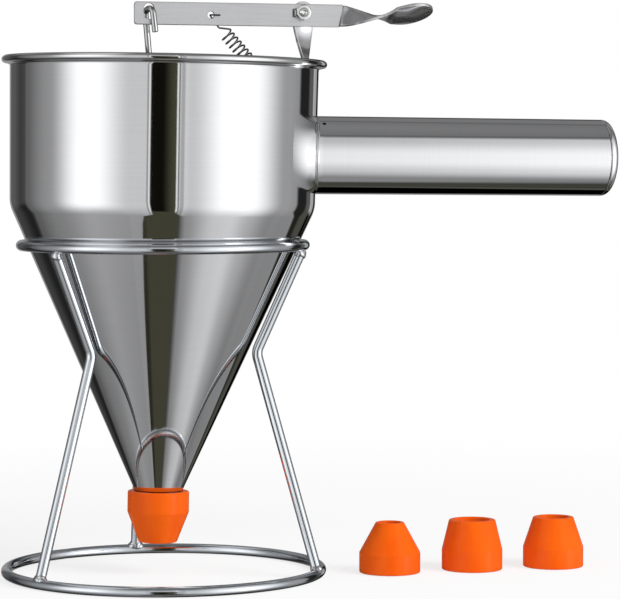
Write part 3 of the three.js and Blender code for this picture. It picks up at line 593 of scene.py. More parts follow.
def bead(centre, axis, length, width, seed):
    """A small lump of weld, drawn out along an axis and uneven all over."""
    axis = Vector(axis).normalized()
    side = axis.orthogonal().normalized()
    other = axis.cross(side)
    rows, sides = 14, 20
    round_lumps, slanted_lumps = 0.07, 0.06
    rings = []
    for row in range(1, rows):
        lift = cos(pi * row / rows)
        reach = sin(pi * row / rows)
        ring = []
        for angle in turns(sides):
            lump = 1 + round_lumps * sin(3 * angle + seed)
            lump += slanted_lumps * sin(5 * lift + 2 * angle + 2 * seed)
            arm = side * cos(angle) + other * sin(angle)
            ring.append(Vector(centre) + axis * (length * lift) + arm * (width * reach * lump))
        rings.append(ring)
    return loft(rings)


# The wire stand.
def ring_of_wire(radius, height, seam):
    """A round of wire whose ends are butted and dressed at one place, a little thinner there."""
    around, sides = 168, 20
    seam_depth, seam_width = 0.035, 1.6
    rings = []
    for angle in turns(around):
        away = (degrees(angle) - seam + 180) % 360 - 180
        girth = 1 - seam_depth * exp(-((away / seam_width) ** 2))
        ring = []
        for turn in turns(sides):
            out = radius + WIRE * girth * cos(turn)
            up = max(WIRE * girth * sin(turn), -BASE_HEIGHT)
            ring.append(Vector((out * cos(angle), out * sin(angle), height + up)))
        rings.append(ring)
    return loft(rings, closed_path=True)


def polar(radius, bearing, height):
    angle = radians(bearing)
    return Vector((radius * cos(angle), radius * sin(angle), height))


def make_stand():
    base_seam, upper_seam = 118, 64
    base = ring_of_wire(BASE_RING, BASE_HEIGHT, base_seam)
    upper = ring_of_wire(UPPER_RING, UPPER_HEIGHT, upper_seam)
    piece("base_ring_wire", base, STAND, "stand", CHROME, ["base_ring"])
    piece("upper_ring_wire", upper, STAND, "stand", CHROME, ["upper_ring"])
    knee_bend, longest_run, sides = 8.0, 6.0, 20
    top_shift, top_drop, wire_start = 0.5, 2.2, 2.2
    for number, (name, (bearing, skew)) in enumerate(LEGS.items()):
        foot = polar(BASE_RING, bearing + skew, BASE_HEIGHT)
        knee = polar(KNEE_RADIUS, bearing, KNEE_HEIGHT)
        top = polar(UPPER_RING + top_shift, bearing, UPPER_HEIGHT - top_drop)
        up, down = (knee - foot).normalized(), (knee - top).normalized()
        path = divide(bend([foot, knee, top], [knee_bend], 14), longest_run)
        path[0] = foot + up * wire_start
        piece(f"{name}_wire", sweep(path, WIRE, sides), STAND, "stand", CHROME, [name])
        along_ring = (-foot.y, foot.x, 0)
        welds = joined(
            bead(foot + up * 2.5, up, 3.0, 2.95, number),
            bead(foot + up * 1.6, along_ring, 4.2, 2.7, number + 4),
            bead(top + down * 1.6, down, 2.9, 2.85, number + 2),
        )
        piece(f"{name}_welds", welds, STAND, "stand", WELD)


# The funnel and its handle.
def make_funnel():
    shoulder_bend, wall_bend, longest_run = 17.0, 3.0, 4.0
    lip_foot, lip_out, curl = 1.2, 0.5, 3.0
    outside = bend(
        [
            (SPOUT, CONE_END_Z),
            (SHOULDER, SHOULDER_Z),
            (WALL_TOP, LIP_Z - lip_foot),
            (WALL_TOP + lip_out, LIP_Z),
        ],
        [shoulder_bend, wall_bend],
        18,
    )
    outside = divide(outside, longest_run)
    inside = list(reversed(offset(outside, SHEET)))
    half = LIP / 2
    roll = arc((RIM - half, RIM_Z - half), half, -100, 90, 16)
    inner = inside[0]
    flare = arc((inner.x + curl, inner.y), curl, 90, 172, 10, (RIM_Z - inner.y) / curl)
    profile = [*outside[:-1], *map(Vector, roll), *map(Vector, flare), *inside[1:]]
    sheet = lathe(flat(profile), 144)
    piece("funnel_sheet", sheet, FUNNEL, "funnel", POLISHED, ["funnel_shell"], sharp=50)


def handle_start(angle, radius):
    """How far along the handle its skin meets the wall, at an angle round the handle."""
    turn = Matrix.Rotation(GRIP_TURN, 3, "Y")
    along = 0.0
    for _ in range(6):
        spot = turn @ Vector((radius * cos(angle), radius * sin(angle), along))
        spot += GRIP_START
        along += wall_radius(spot.z) - hypot(spot.x, spot.y)
    return along


def make_handle_weld():
    """A slim bead round the handle's joint with the wall."""
    stations, sides = 96, 16
    radius, lead, girth = HANDLE + 0.15, 0.72, 0.85
    heights = [handle_start(angle, HANDLE) + lead for angle in turns(stations)]
    seam = [Vector(point) for point in axis_ring([radius] * stations, heights)]
    rings = []
    for i, centre in enumerate(seam):
        run = (seam[(i + 1) % stations] - seam[i - 1]).normalized()
        other = run.cross(Vector((centre.x, centre.y, 0))).normalized()
        rings.append(wire_ring(centre, other.cross(run), other, girth, sides))
    piece("handle_weld", loft(rings, closed_path=True), GRIP, "funnel", POLISHED)


def make_collar():
    length, land = 9.0, 0.6
    top, bottom = CONE_END_Z, CONE_END_Z - length
    inner = SPOUT - COLLAR_WALL
    corners = [(inner, top), (inner, bottom), (SPOUT, bottom), (SPOUT, top), (SPOUT - land, top)]
    collar = lathe(flat(bend(corners, [0.2, 0.5, 0.2], 4)), 96)
    piece("outlet_collar", collar, FUNNEL, "funnel", POLISHED, ["spout_collar"])


def make_handle():
    """The tube, from its weld at the wall to the cap, with the vent hole near the weld."""
    around, gap = 120, 0.04
    outer_starts = [handle_start(angle, HANDLE) + gap for angle in turns(around)]
    bore = HANDLE - HANDLE_WALL
    bore_starts = [handle_start(angle, bore) + gap for angle in turns(around)]
    weld = [(0.0, 0.55), (0.15, 0.32), (0.4, 0.12), (0.75, 0.02), (1.1, 0.0)]
    weld_end = weld[-1][0]
    runs = [0.02, 0.06, 0.12, 0.2, 0.3, 0.4, 0.5, 0.6, 0.7, 0.8, 0.9, 0.96]
    end = CAP_SEAT - 0.3
    rings = []

    def add(radius, heights):
        rings.append(axis_ring([radius] * around, heights))

    for along, swell in weld:
        add(HANDLE + swell, [start + along for start in outer_starts])
    for share in runs:
        add(HANDLE, [mix(start + weld_end, end, share) for start in outer_starts])
    for inset, back in ((0.0, 0.6), (0.0, 0.25), (0.18, 0.05), (0.3, 0.0), (HANDLE_WALL, 0.0)):
        add(HANDLE - inset, [end - back] * around)
    for share in (1.0, 0.5, 0.0):
        add(bore, [mix(start, end - 2.0, share) for start in bore_starts])
    skin = loft(rings, closed_path=True)
    tube = piece("handle_skin", skin, GRIP, "funnel", HANDLE_STEEL, ["handle_tube"])

    vent_angle, vent_along, vent_radius = radians(53), 3.4, 0.95
    vent_inner, vent_outer = 16.0, 22.0
    out = Vector((-sin(vent_angle), -cos(vent_angle), 0))
    middle = Vector((0, 0, vent_along))
    bit = sweep([middle + out * vent_inner, middle + out * vent_outer], vent_radius, 20, eased=0.0)
    drill(tube, bit, GRIP)


def make_handle_cap():
    """A pressed cap with a slightly crowned end and a spigot that fits in the tube."""
    crown, spigot, wall = 0.6, HANDLE - 1.3, 1.0
    bend_centre = HANDLE - CAP_BEND
    crowned = [
        (r, HANDLE_LENGTH + crown * (1 - (r / bend_centre) ** 2))
        for r in (0.0, 3, 6, 9, 11, 13, 14.4)
    ]
    inner = spigot - wall
    profile = [
        *crowned,
        *arc((bend_centre, HANDLE_LENGTH - CAP_BEND), CAP_BEND, 88, 0, 14),
        (HANDLE, CAP_SEAT + 0.3),
        (HANDLE - 0.1, CAP_SEAT + 0.1),
        (HANDLE - 0.3, CAP_SEAT),
        (spigot, CAP_SEAT),
        (spigot, CAP_SEAT - 3.6),
        (spigot - 0.4, CAP_SEAT - 4.0),
        (inner, CAP_SEAT - 4.0),
        *arc((inner - CAP_BEND, HANDLE_LENGTH - wall - CAP_BEND), CAP_BEND, 0, 90, 8),
        (0.0, HANDLE_LENGTH - wall),
    ]
    cap = lathe(profile, 120, closed=False)
    piece("handle_cap", cap, GRIP, "funnel", HANDLE_STEEL, ["handle_end_cap"])


# The lever, its bracket and the pivot.
def strip_ring(centre, across, normal, width, dish=0.0):
    """A strip's section with eased edges; its middle sags below its edges by the dish."""
    edge = min(0.35, width * 0.2)
    columns = 12
    inner, shallow = width / 2 - edge, HALF_STRIP - edge
    loop = []

    def put(u, v):
        sag = dish * ((2 * u / width) ** 2 - 1)
        loop.append(Vector(centre) + Vector(across) * u + Vector(normal) * (v + sag))

    def corner(u, v, *angles):
        for angle in map(radians, angles):
            put(u + edge * cos(angle), v + edge * sin(angle))

    for i in range(columns + 1):
        put(mix(-inner, inner, i / columns), HALF_STRIP)
    corner(inner, shallow, 60, 30)
    corner(inner, -shallow, -30, -60)
    for i in range(columns + 1):
        put(mix(inner, -inner, i / columns), -HALF_STRIP)
    corner(-inner, -shallow, -120, -150)
    corner(-inner, shallow, 150, 120)
    return loop


def spool(radius, drop=0.0):
    """A cutter for a hole with eased mouths through a strip; drop draws it out to a slot."""
    depth, ease, over = 4.0, 0.22, 0.02
    profile = [
        (0, -depth),
        (radius + ease * 4, -depth),
        (radius + ease, -HALF_STRIP - over),
        (radius, -HALF_STRIP + ease),
        (radius, HALF_STRIP - ease),
        (radius + ease, HALF_STRIP + over),
        (radius + ease * 4, depth),
        (0, depth),
    ]
    verts, faces = lathe(profile, 40, closed=False)
    return [(x, y - drop if y < -1e-4 else y, z) for x, y, z in verts], faces


def lever_width(along):
    if along <= PADDLE_MIDDLE:
        share = smooth((along - NECK_END) / (PADDLE_MIDDLE - NECK_END))
        return mix(STRIP_WIDTH, PADDLE_WIDTH, share)
    share = min((along - PADDLE_MIDDLE) / (PADDLE_TIP - PADDLE_MIDDLE), 1.0)
    return PADDLE_WIDTH * sqrt(max(1 - share * share, 0.0))


def lever_roll(along):
    """How far the strip has turned about its length: a sharp fold on top of an even twist."""
    whole_turn, gathering, bulge, lean = radians(117), 0.08, 0.8, 0.98
    fold, fold_rise, fold_fade = radians(28), 0.12, 5.0
    past = max(along - TWIST_START, 0.0)
    twist = min(max((along - TWIST_START) / TWIST_LENGTH, 0.0), 1.0)
    twist = twist * twist / (twist + gathering) * (1 + gathering)
    roll = whole_turn * (twist + bulge * twist * (1 - twist) * (1 - lean * twist))
    return roll + fold * (1 - exp(-past / fold_rise)) * exp(-past / fold_fade)


def make_lever():
    fold_lean, fold_reach = 0.2, 4.0
    strip_middle, slope_gathering = -1.25, 2.0
    paddle_slope, paddle_dish = tan(radians(6.9)), 1.8
    rings = []

    def add(along, width):
        lean = fold_lean * exp(-(((along - TWIST_START) / fold_reach) ** 2))
        roll = lever_roll(along)
        lift = max(along - RISE_START, 0.0)
        eased = lift * lift / (lift + slope_gathering) if lift else 0.0
        centre = (along, 0, strip_middle + eased * paddle_slope)
        across = (lean, sin(roll), cos(roll))
        face = (0, -cos(roll), sin(roll))
        hollow = sin(pi * smooth((along - NECK_END) / (PADDLE_TIP - NECK_END)))
        rings.append(strip_ring(centre, across, face, width, paddle_dish * hollow))

    corner = 1.2
    for step in range(8):
        angle = pi / 2 * step / 7
        width = STRIP_WIDTH - 2 * corner * (1 - sin(angle))
        add(LEVER_TAIL + corner * (1 - cos(angle)), width)
    places = [mix(LEVER_TAIL + corner, TWIST_START, step / 40) for step in range(1, 40)]
    places += [mix(TWIST_START, PADDLE_MIDDLE, (step / 96) ** 1.6) for step in range(96)]
    tip_shares = [sin(pi / 2 * step / 27.6) for step in range(27)]
    places += [mix(PADDLE_MIDDLE, PADDLE_TIP, share) for share in tip_shares]
    for along in places:
        add(along, lever_width(along))
    lever = piece("lever_strip", loft(rings), LEVER, "lever", SATIN, ["thumb_lever"], sharp=40)
    lever.visible_glossy = False
    for (x, z), radius, drop in (
        ((0, 0), PIVOT_HOLE, 0),
        (ROD_HOLE, ROD_HOLE_RADIUS, ROD_HOLE_DROP),
        (SPRING_HOLE, SPRING_HOLE_RADIUS, 0),
    ):
        spot = LEVER @ Matrix.Translation((x, 0, z)) @ CROSSWISE
        drill(lever, spool(radius, drop), spot, sharp=40)


def make_bracket():
    """A strip that turns a quarter between the pivot and the wall, with the spring's tab below."""
    crown = PIVOT + Vector((1.6, 0, 0.6))
    twist_length, twist_power = 42.0, 1.9
    twist_top = crown.z - 4.0
    twist_bottom = twist_top - twist_length
    upright = (0, 0, 1)
    tab_rise = (sin(TAB_ANGLE), 0, cos(TAB_ANGLE))
    rings = []

    def add(centre, rise=upright, width=BRACKET_WIDTH):
        left = min(max((centre[2] - twist_bottom) / twist_length, 0.0), 1.0)
        turn = (1 - left**twist_power) * pi / 2
        sideways = Vector((rise[2], 0, -rise[0]))
        across = sideways * cos(turn) + Vector((0, 1, 0)) * sin(turn)
        normal = sideways * -sin(turn) + Vector((0, 1, 0)) * cos(turn)
        rings.append(strip_ring(centre, across, normal, width))

    for step in range(21):
        angle = radians(mix(86, 0, step / 20))
        top = (crown.x, 0, crown.z + BRACKET_HALF * sin(angle))
        add(top, width=BRACKET_WIDTH * cos(angle))
    for step in range(1, 5):
        add((crown.x, 0, mix(crown.z, twist_top, step / 5)))
    for step in range(41):
        share = step / 40
        x = mix(crown.x, BRACKET_X, smooth(share))
        add((x, 0, mix(twist_top, twist_bottom, share)))
    tab_bend, bend_steps = 3.0, 10
    tab_end = TAB_CORNER + TAB_RUN * TAB_LENGTH
    foot = bend([(BRACKET_X, 0, twist_bottom), TAB_CORNER, tab_end], [tab_bend], bend_steps)
    for i, centre in enumerate(foot[1:]):
        turned = TAB_ANGLE * min(i, bend_steps) / bend_steps
        add(centre, (sin(turned), 0, cos(turned)))
    for beyond, narrow in ((0.15, 0.6), (0.4, 1.6)):
        add(TAB_CORNER + TAB_RUN * (TAB_LENGTH + beyond), tab_rise, BRACKET_WIDTH - narrow)
    strip = loft(rings)
    bracket = piece("bracket_strip", strip, FUNNEL, "funnel", SATIN, ["lever_bracket"], sharp=40)
    drill(bracket, spool(PIVOT_HOLE), ON_PIVOT, sharp=40)
    tilt = UP.rotation_difference(TAB_NORMAL).to_matrix().to_4x4()
    drill(bracket, spool(TAB_HOLE_RADIUS), FUNNEL @ Matrix.Translation(TAB_HOLE) @ tilt, sharp=40)


def make_screw():
    """A cross-headed pan screw with a dimple in its end."""
    root, thread_pitch = 1.72, 0.7
    threads = []
    along = NUT_LOW - 0.2
    while along < SCREW_END - 0.8:
        threads += [(SCREW, along), (SCREW, along + 0.12)]
        threads += [(root, along + 0.35), (root, along + 0.45)]
        along += thread_pitch
    head, head_radius, head_height = -HALF_STRIP - 0.05, 4.0, 2.6
    pan = []
    for angle in map(radians, (12, 24, 36, 48, 60, 70, 79, 86)):
        pan.append((head_radius * sin(angle), head - head_height * cos(angle)))
    profile = [
        (0.0, head - head_height),
        *pan,
        (head_radius, head - 0.1),
        (head_radius - 0.1, head),
        (SCREW, head),
        (SCREW, NUT_LOW - 0.4),
        *threads,
        (root, SCREW_END - 0.35),
        (1.4, SCREW_END),
        (1.15, SCREW_END),
        (0.7, SCREW_END - 0.45),
        (0.35, SCREW_END - 0.5),
        (0.0, SCREW_END - 0.3),
    ]
    bolt = lathe(profile, 48, closed=False)
    screw = piece("pivot_bolt", bolt, ON_PIVOT, "funnel", PLATED, ["pivot_screw"], sharp=28)
    square = ((-1, -1), (1, -1), (1, 1), (-1, 1))
    cross = ((head - 3.2, 2.3, 0.55), (head - 1.1, 0.9, 0.35))
    for turn in (25, 115):
        blade = [[(x * wide, y * thin, z) for x, y in square] for z, wide, thin in cross]
        turned = ON_PIVOT @ Matrix.Rotation(radians(turn), 4, "Z")
        drill(screw, loft(blade), turned, sharp=28)


def make_washer():
    inner, outer = PIVOT_HOLE, 4.5
    low, high = WASHER_MIDDLE - HALF_WASHER, WASHER_MIDDLE + HALF_WASHER
    corners = [(inner, low), (outer, low), (outer, high), (inner, high)]
    washer = lathe(flat(bend(corners, [0.15, 0.15], 3)), 64)
    piece("pivot_spacer", washer, ON_PIVOT, "funnel", PLATED, ["pivot_washer"])


def make_nut():
    """A tall hexagon nut: the corners are cut back by a round limit that changes with height."""
    flats, bore, sides = 3.5, 2.04, 96
    corner = flats / cos(pi / 6)
    no_limit = 9.0
    limits = [(NUT_LOW, 3.25), (NUT_LOW + 0.06, 3.4)]
    limits += [(NUT_LOW + 0.1 + 0.1 * k, 3.48 + 0.14 * k) for k in range(5)]
    limits += [(mix(NUT_LOW + 0.8, NUT_HIGH - 0.8, k / 4), no_limit) for k in range(5)]
    limits += [(NUT_HIGH - 0.5 + 0.1 * k, 4.04 - 0.14 * k) for k in range(5)]
    limits += [(NUT_HIGH - 0.03, 3.36), (NUT_HIGH, 3.2)]
    sixth = pi / 3
    off_flat = [(angle + sixth / 2) % sixth - sixth / 2 for angle in turns(sides)]
    hexagon = [min(flats / cos(angle), corner - 0.06) for angle in off_flat]
    rings = []
    for height, limit in limits:
        rings.append(axis_ring([min(reach, limit) for reach in hexagon], [height] * sides))
    mouth = bore + 0.5
    bore_high, bore_low = NUT_HIGH - 0.5, NUT_LOW + 0.5
    hole = [(mouth, NUT_HIGH), (bore, bore_high), (bore, bore_low), (mouth, NUT_LOW)]
    rings += [level_ring(reach, height, sides) for reach, height in hole]
    nut = loft(rings, closed_path=True)
    turned = ON_PIVOT @ Matrix.Rotation(radians(1), 4, "Z")
    piece("pivot_locknut", nut, turned, "funnel", PLATED, ["pivot_nut"], sharp=30)


# The rod, the stopper and the spring.
def on_lever(x, z):
    """A point of the lever at rest, in the funnel's axes."""
    spot = Matrix.Rotation(-LEVER_RISE, 3, "Y") @ Vector((x, 0, z))
    return spot + PIVOT + Vector((0, LEVER_Y, 0))


def cone_bore(z):
    return SPOUT + (z - CONE_END_Z) * CONE_SLOPE - SHEET / cos(CONE_ANGLE)


def make_rod():
    """A round rod: straight in the cone, cranked to the lever, and hooked through its slot."""
    rod, crank_bend, hook_bend, longest_run = 1.5, 20.0, 2.6, 6.0
    crank_depth, foot_gap, half_hook = 75, 0.4, 2.8
    hook_turn, hook_lean, hook_length = radians(25), radians(7.5), 12.7
    run = Vector((sin(hook_turn), -cos(hook_turn), 0))
    hole = on_lever(*ROD_HOLE)
    rise = Vector((0, 0, 1.2))
    behind, before = hole - run * half_hook - rise, hole + run * half_hook + rise
    hook_end = before + Vector((sin(hook_lean), 0, -cos(hook_lean))) * hook_length
    foot, crank = Vector((0, 0, SOCKET + foot_gap)), Vector((0, 0, RIM_Z - crank_depth))
    path = bend([foot, crank, behind, before, hook_end], [crank_bend, hook_bend, hook_bend], 14)
    wire = sweep(divide(path, longest_run), rod, 24)
    piece("rod_wire", wire, FUNNEL, "rod", ROD_STEEL, ["pull_rod"])


def make_stopper():
    """A tapered plug with a rounded nose below it and a socketed neck above."""
    gap = 0.3
    inset = gap / cos(CONE_ANGLE)
    low, high = cone_bore(PLUG_LOW) - inset, cone_bore(PLUG_HIGH) - inset
    nose_radius, nose_height, nose_steps = 6.5, 4.0, 10
    neck, socket = 4.0, 1.75
    nose_middle = (0, CONE_END_Z - 2.0)
    nose = arc(nose_middle, nose_radius, -90, 0, nose_steps, nose_height / nose_radius)
    corners = [
        *nose,
        (min(low, SPOUT - COLLAR_WALL - 0.6), CONE_END_Z),
        (low, PLUG_LOW),
        (high, PLUG_HIGH),
        (neck, PLUG_HIGH + 3.0),
        (neck, PLUG_TOP),
        (socket, PLUG_TOP),
        (socket, SOCKET),
        (0, SOCKET),
    ]
    radii = [0] * nose_steps + [0.8, 0.5, 1.0, 1.2, 0.5, 0.2, 0]
    shape = bend([(x, y, 0) for x, y in corners], radii, 4)
    profile = [(abs(p.x) if abs(p.x) > 1e-4 else 0.0, p.y) for p in shape]
    plug = lathe(profile, 72, closed=False)
    piece("stopper_plug", plug, FUNNEL, "rod", ROD_STEEL, ["stopper"])


def make_spring():
    """One wire: a hook through the lever, the coil, and a tail through the bracket's tab."""
    wire, radius, pitch, coils, steps = 0.9, 3.05, 2.6, 17, 24
    wire_bend, stand_off = 0.9, HALF_STRIP + PLAY + wire / 2
    coil_ahead, coil_aside, coil_drop = 7.8, -1.8, 8.6
    elbow_ahead, elbow_drop = 4.6, 6.0
    hook_end, tail_end, tail_start = 4.5, 3.0, 6.5
    hole = on_lever(*SPRING_HOLE)
    start = Vector((hole.x + coil_ahead, coil_aside, hole.z - coil_drop))
    axis = (TAB_HOLE - start).normalized()
    sideways = axis.cross(UP).normalized()
    upward = sideways.cross(axis)
    coil = []
    for step in range(coils * steps + 1):
        angle = 2 * pi * step / steps
        spot = start + axis * (coils * pitch * step / (coils * steps))
        arm = radius * cos(angle), radius * sin(angle)
        coil.append(spot + upward * arm[0] + sideways * arm[1])
    front = hole - Vector((0, stand_off, 0))
    back = hole + Vector((0, stand_off, 0))
    elbow = Vector((hole.x + elbow_ahead, back.y, hole.z - elbow_drop))
    tip = front + Vector((hook_end, 0, 0))
    hook = bend([tip, front, back, elbow, coil[0]], [wire_bend] * 3, 6)
    through = TAB_HOLE + TAB_NORMAL * stand_off
    approach = TAB_HOLE - TAB_NORMAL * tail_start
    tail = bend([coil[-1], approach, through, through + TAB_RUN * tail_end], [wire_bend] * 2, 6)
    shape = sweep([*hook[:-1], *coil, *tail[1:]], wire / 2, 12)
    spring = piece("spring_coil", shape, FUNNEL, "", SPRING_STEEL, ["return_spring"])
    foot = start + axis * (coils * pitch)
    tuple(FUNNEL @ foot)
    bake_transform(spring)


# The nozzles.
def nozzle(mouth, rim=0.0):
    """A tapered nozzle, standing on its rim, with a step inside for the collar."""
    bore, rim_bore, outer = 11.75, 12.1, 14.85
    height, straight, mouth_bore = 24.5, 9.8, mouth * 0.76
    corners = [
        (rim_bore, rim),
        (outer, rim),
        (outer, straight),
        (mouth, height),
        (mouth_bore, height),
        (mouth_bore, height - 2),
        (bore, straight),
        (bore, 1.4),
        (rim_bore, rim + 0.2),
    ]
    longest_run = 2.5
    profile = divide(bend(corners, [0.8, 2.2, 0.9, 0.45, 0.6, 1.2, 0.5], 7), longest_run)
    return lathe(flat(profile), 96)


def make_nozzles():
    lowered = Matrix.Translation((0, 0, CONE_END_Z - 0.3))
    fitted = FUNNEL @ lowered @ Matrix.Rotation(pi, 4, "X")
    shape = nozzle(mouth=9.2, rim=-0.28)
    piece("nozzle_on_outlet", shape, fitted, "nozzle", ORANGE, ["fitted_nozzle"])
    for number, mouth in enumerate((6.8, 11.3, 9.9), 1):
        node = f"spare_nozzle_{number}"
        low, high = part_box(node)
        middle = Matrix.Translation(((low.x + high.x) / 2, (low.y + high.y) / 2, low.z))
        spot = middle @ Matrix.Scale(MILLIMETRE, 4)
        name = f"loose_nozzle_{number}"
        loose = piece(name, nozzle(mouth), spot, f"spare_{number}", ORANGE, [node])
        loose.visible_glossy = False


# The studio. Lengths are in metres here.
WHITE = (1, 1, 1, 1)
YAW = radians(15)
PITCH = 0.0494
CAMERA_BACK, CAMERA_ASIDE, CAMERA_HEIGHT = 1.4366, 0.07067, 0.204
CAMERA_AT = Vector((
    STAND_X - CAMERA_BACK * sin(YAW) + CAMERA_ASIDE * cos(YAW),
    -CAMERA_BACK * cos(YAW) - CAMERA_ASIDE * sin(YAW),
    CAMERA_HEIGHT,
))
FOCAL_PIXELS, PICTURE_PIXELS, SENSOR = 2986, 620, 36.0
AIM_ASIDE, AIM_HEIGHT = 0.05, 0.13


def make_camera():
    lens = bpy.data.cameras.new("camera")
    lens.sensor_fit = "HORIZONTAL"
    lens.sensor_width = SENSOR
    lens.lens = FOCAL_PIXELS * SENSOR / PICTURE_PIXELS
    lens.clip_start, lens.clip_end = 0.05, 50
    camera = new_object("camera", lens)
    level = cos(PITCH)
    look = Vector((sin(YAW) * level, cos(YAW) * level, -sin(PITCH)))
    camera.location = CAMERA_AT
    camera.rotation_euler = look.to_track_quat("-Z", "Y").to_euler()
    bpy.context.scene.camera = camera


def left_box(turn, height, below):
    """The soft box left of the camera: a panel, and a lamp in it that fades towards the front."""
    panel = turn.step(-138, -88, 0.05, 0.40) + turn.step(-96, -62, 0.0, 0.36)
    lamp = turn.step(-93, -62) * turn.step(-54, -24, 0.72, 0.0)
    box = panel * height.step(-62, -14, 0.35, 1.0) + lamp * height.step(-37, -6)
    rear_frame = turn.step(-126.5, -124, 0.5, 1.0)
    dark_line = turn.band(-12.0, -11.3, 0.4) * 0.55
    box = box * rear_frame * (1 - dark_line)
    box = box + turn.band(-10.6, -9.6, 0.4) * 0.3 * height.step(-40, -30)
    front_edge = height.step(-52, -43, -25.0, -9.5)
    box = box * (turn - front_edge).step(-0.7, 0.3, 1.0, 0.0)
    return box * (1 - below * turn.step(-130, -125, 1.0, 0.0))


def right_box(turn, height):
    """The brighter soft box on the right, with slanting edges and a dark line near its front."""
    lamp = turn.step(20, 50, 0.0, 0.73) - turn.step(68, 104, 0.0, 1.06)
    box = lamp - turn.step(106, 126, 0.0, 0.10) + 0.76
    box = box * height.step(-50, -12, 0.53, 1.0) * height.step(-66, -42, 0.3, 1.0)
    box = box * (1 - turn.step(62, 82, 0.0, 0.3) * height.step(-44, -32, 1.0, 0.0))
    dark_line = turn.band(13.2, 14.8, 1.2) * 0.42
    box = box * (1 - dark_line)
    front_edge = height.step(-54, -38, 14.5, 11.1)
    front_fade = height.step(-50, -40, 8.0, 1.3)
    rear_edge = height.step(-26, -16, 12.0, 0.0)
    box = box * ((turn - front_edge) / front_fade).step(0.0, 1.0)
    return box * (turn - rear_edge).step(119, 124, 1.0, 0.0)


def dark_gap(graph, turn, height):
    """The slot between the boxes, where the camera stands: almost black, or a faint olive."""
    low_olive = height.step(-35, -31, 1.0, 0.0) * turn.step(-20, -15, 0.4, 1.0)
    olive = graph.maths("MAXIMUM", turn.step(-1, 8), low_olive) * 0.062 + 0.006
    return olive * turn.band(-30, 16, 4.0)


def rear_walls(turn, height, below):
    """The dim room behind the object."""
    walls = turn.step(-150, -132, 0.09, 0.03) * turn.step(-124, -118, 1.0, 0.0)
    walls = walls + turn.band(141, 149, 5.0) * 0.10
    panel = turn.band(150, 158, 3.0) * height.band(-7, 12, 4.0) * 0.42
    walls = walls * (1 - below * 0.35) + panel
    walls = walls + (1 - turn.band(-160, 166, 4.0)) * height.band(-24, 10, 8.0) * 0.22
    walls = walls + turn.band(120, 150, 4.0) * 0.02
    return walls + height.step(14, 34, 0.0, 0.19) * (1 - turn.band(-118, 118, 12.0))


def make_world():
    """White for the camera. Metal sees a dim room with two tall soft boxes.

    turn is the direction that a mirror ray goes, in degrees to the right of the camera's side,
    and height its degrees above the horizon. A brightness of 1 is white.
    """
    world = bpy.data.worlds.new("studio")
    bpy.context.scene.world = world
    graph = Graph(world)
    towards = Vector((CAMERA_AT.x - STAND_X, CAMERA_AT.y, 0)).normalized()
    rightward = Vector((-towards.y, towards.x, 0))
    direction = graph.coordinates("Generated")

    def along(axis):
        return Value(graph, graph.vector_maths("DOT_PRODUCT", direction, axis)["Value"])

    in_degrees = 180 / pi
    turn = graph.maths("ARCTAN2", along(rightward), along(towards)) * in_degrees
    height = graph.maths("ARCSINE", along((0, 0, 1))) * in_degrees
    below = height.step(-12, -5, 1.0, 0.0)

    left = left_box(turn, height, below)
    right = right_box(turn, height)
    line = turn.band(9.8, 10.6, 0.5) * height.step(-40, -30) * 0.95
    front = turn.band(-9, 10, 2.0) * height.step(9, 14) * 0.72
    core = turn.band(57, 63, 8.0) * height.band(-14, 4, 10.0) * 2.6
    roof = height.step(47, 55)
    walls = (left + right + line + front) * height.step(2, 50, 1.0, 0.44)
    walls = walls + core + dark_gap(graph, turn, height) + rear_walls(turn, height, below)
    around = walls * (1 - roof) * height.step(-80, -62)
    ground = turn.band(-40, 72, 26.0) * 0.22 + turn.band(-170, -100, 12.0) * 0.14 + 0.055
    ground = height.step(-80, -62, 1.0, 0.0) * ground
    overhead = turn.band(-130, -60, 20.0) * height.band(55, 72, 8.0) * 0.5
    ceiling = height.step(60, 86, 0.18, 0.225) - height.band(55, 57, 3.0) * 0.05
    seen = around + ground + overhead + roof * ceiling

    olive_share = turn.band(-30.0, 12.0, 4.0) + turn.band(95.0, 178.0, 5.0) * below * 0.5
    olive_share = olive_share * seen.step(0.10, 0.20, 1.0, 0.0)
    tint = graph.blend(olive_share, (0.985, 0.99, 1.0), (1.0, 0.97, 0.64))
    mirrored = graph.shader("Background", Color=tint, Strength=seen)
    plain = graph.shader("Background", Color=WHITE, Strength=0.50)
    white = graph.shader("Background", Color=WHITE, Strength=1.0)
    lit = graph.mixed(graph.ray("Is Glossy Ray"), plain, mirrored)
    clear = graph.ray("Is Camera Ray") + graph.ray("Is Transmission Ray")
    graph.finish("World", graph.mixed(clear, lit, white))


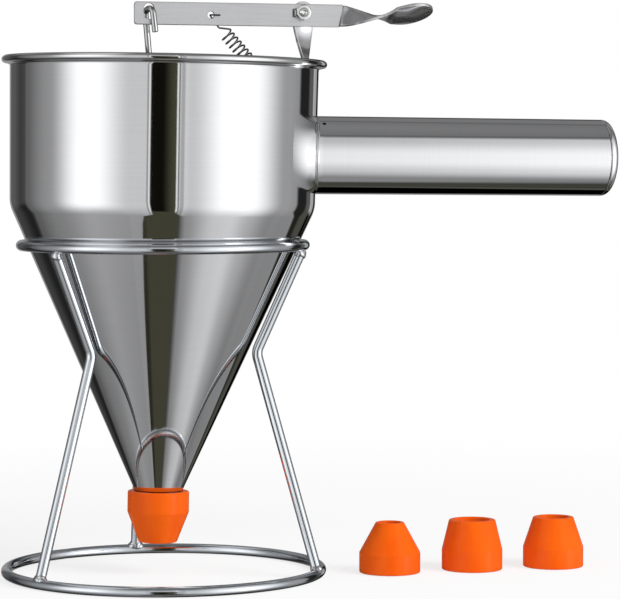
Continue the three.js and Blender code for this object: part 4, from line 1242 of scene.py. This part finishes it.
def make_floor():
    """A pale floor that fades into the white background away from the object."""
    reach, drop, near_white = 6.0, 0.0002, 0.75
    corners = [(-reach, -reach, 0), (reach, -reach, 0), (reach, reach, 0), (-reach, reach, 0)]
    mesh = bpy.data.meshes.new("floor")
    mesh.from_pydata(corners, [], [(0, 1, 2, 3)])
    floor = new_object("floor", mesh)
    floor.location.z = -drop
    floor.visible_glossy = False
    material, graph = new_material("floor_paper")
    mesh.materials.append(material)
    from_middle = graph.vector_maths("LENGTH", graph.coordinates("Object"))["Value"]
    fade = Value(graph, from_middle).step(0.22, 0.75)
    colour = graph.blend(graph.noise((1.2, 1.2, 1.2)), (0.91, 0.91, 0.91), (0.93, 0.93, 0.93))
    paper = graph.shader("BsdfDiffuse", Color=colour, Roughness=0.4)
    white = graph.shader("Emission", Color=WHITE, Strength=1.0)
    share = graph.ray("Is Camera Ray") * (fade * (1 - near_white) + near_white)
    graph.finish("Material", graph.mixed(share, paper, white))


def soft_lamp(name, turn, height, distance, size, power):
    """A square soft lamp aimed at the funnel; turn is measured from the camera, to its right."""
    lamp = bpy.data.lights.new(name, "AREA")
    lamp.shape = "SQUARE"
    lamp.size = size
    lamp.energy = power
    made = new_object(name, lamp)
    angle = atan2(CAMERA_AT.y, CAMERA_AT.x - STAND_X) + radians(turn)
    lift = radians(height)
    aim = Vector((STAND_X + AIM_ASIDE, 0, AIM_HEIGHT))
    level = cos(lift)
    out = Vector((cos(angle) * level, sin(angle) * level, sin(lift)))
    made.location = aim + out * distance
    made.rotation_euler = (-out).to_track_quat("-Z", "Y").to_euler()
    made.visible_glossy = False


make_camera()
make_world()
make_floor()
soft_lamp("key_lamp", turn=52, height=34, distance=2.2, size=1.1, power=33)
soft_lamp("fill_lamp", turn=-64, height=30, distance=2.2, size=1.4, power=2)
make_stand()
make_funnel()
make_handle_weld()
make_collar()
make_handle()
make_handle_cap()
make_lever()
make_bracket()
make_screw()
make_washer()
make_nut()
make_rod()
make_stopper()
make_spring()
make_nozzles()

view = bpy.context.scene.view_settings
view.view_transform = "Standard"
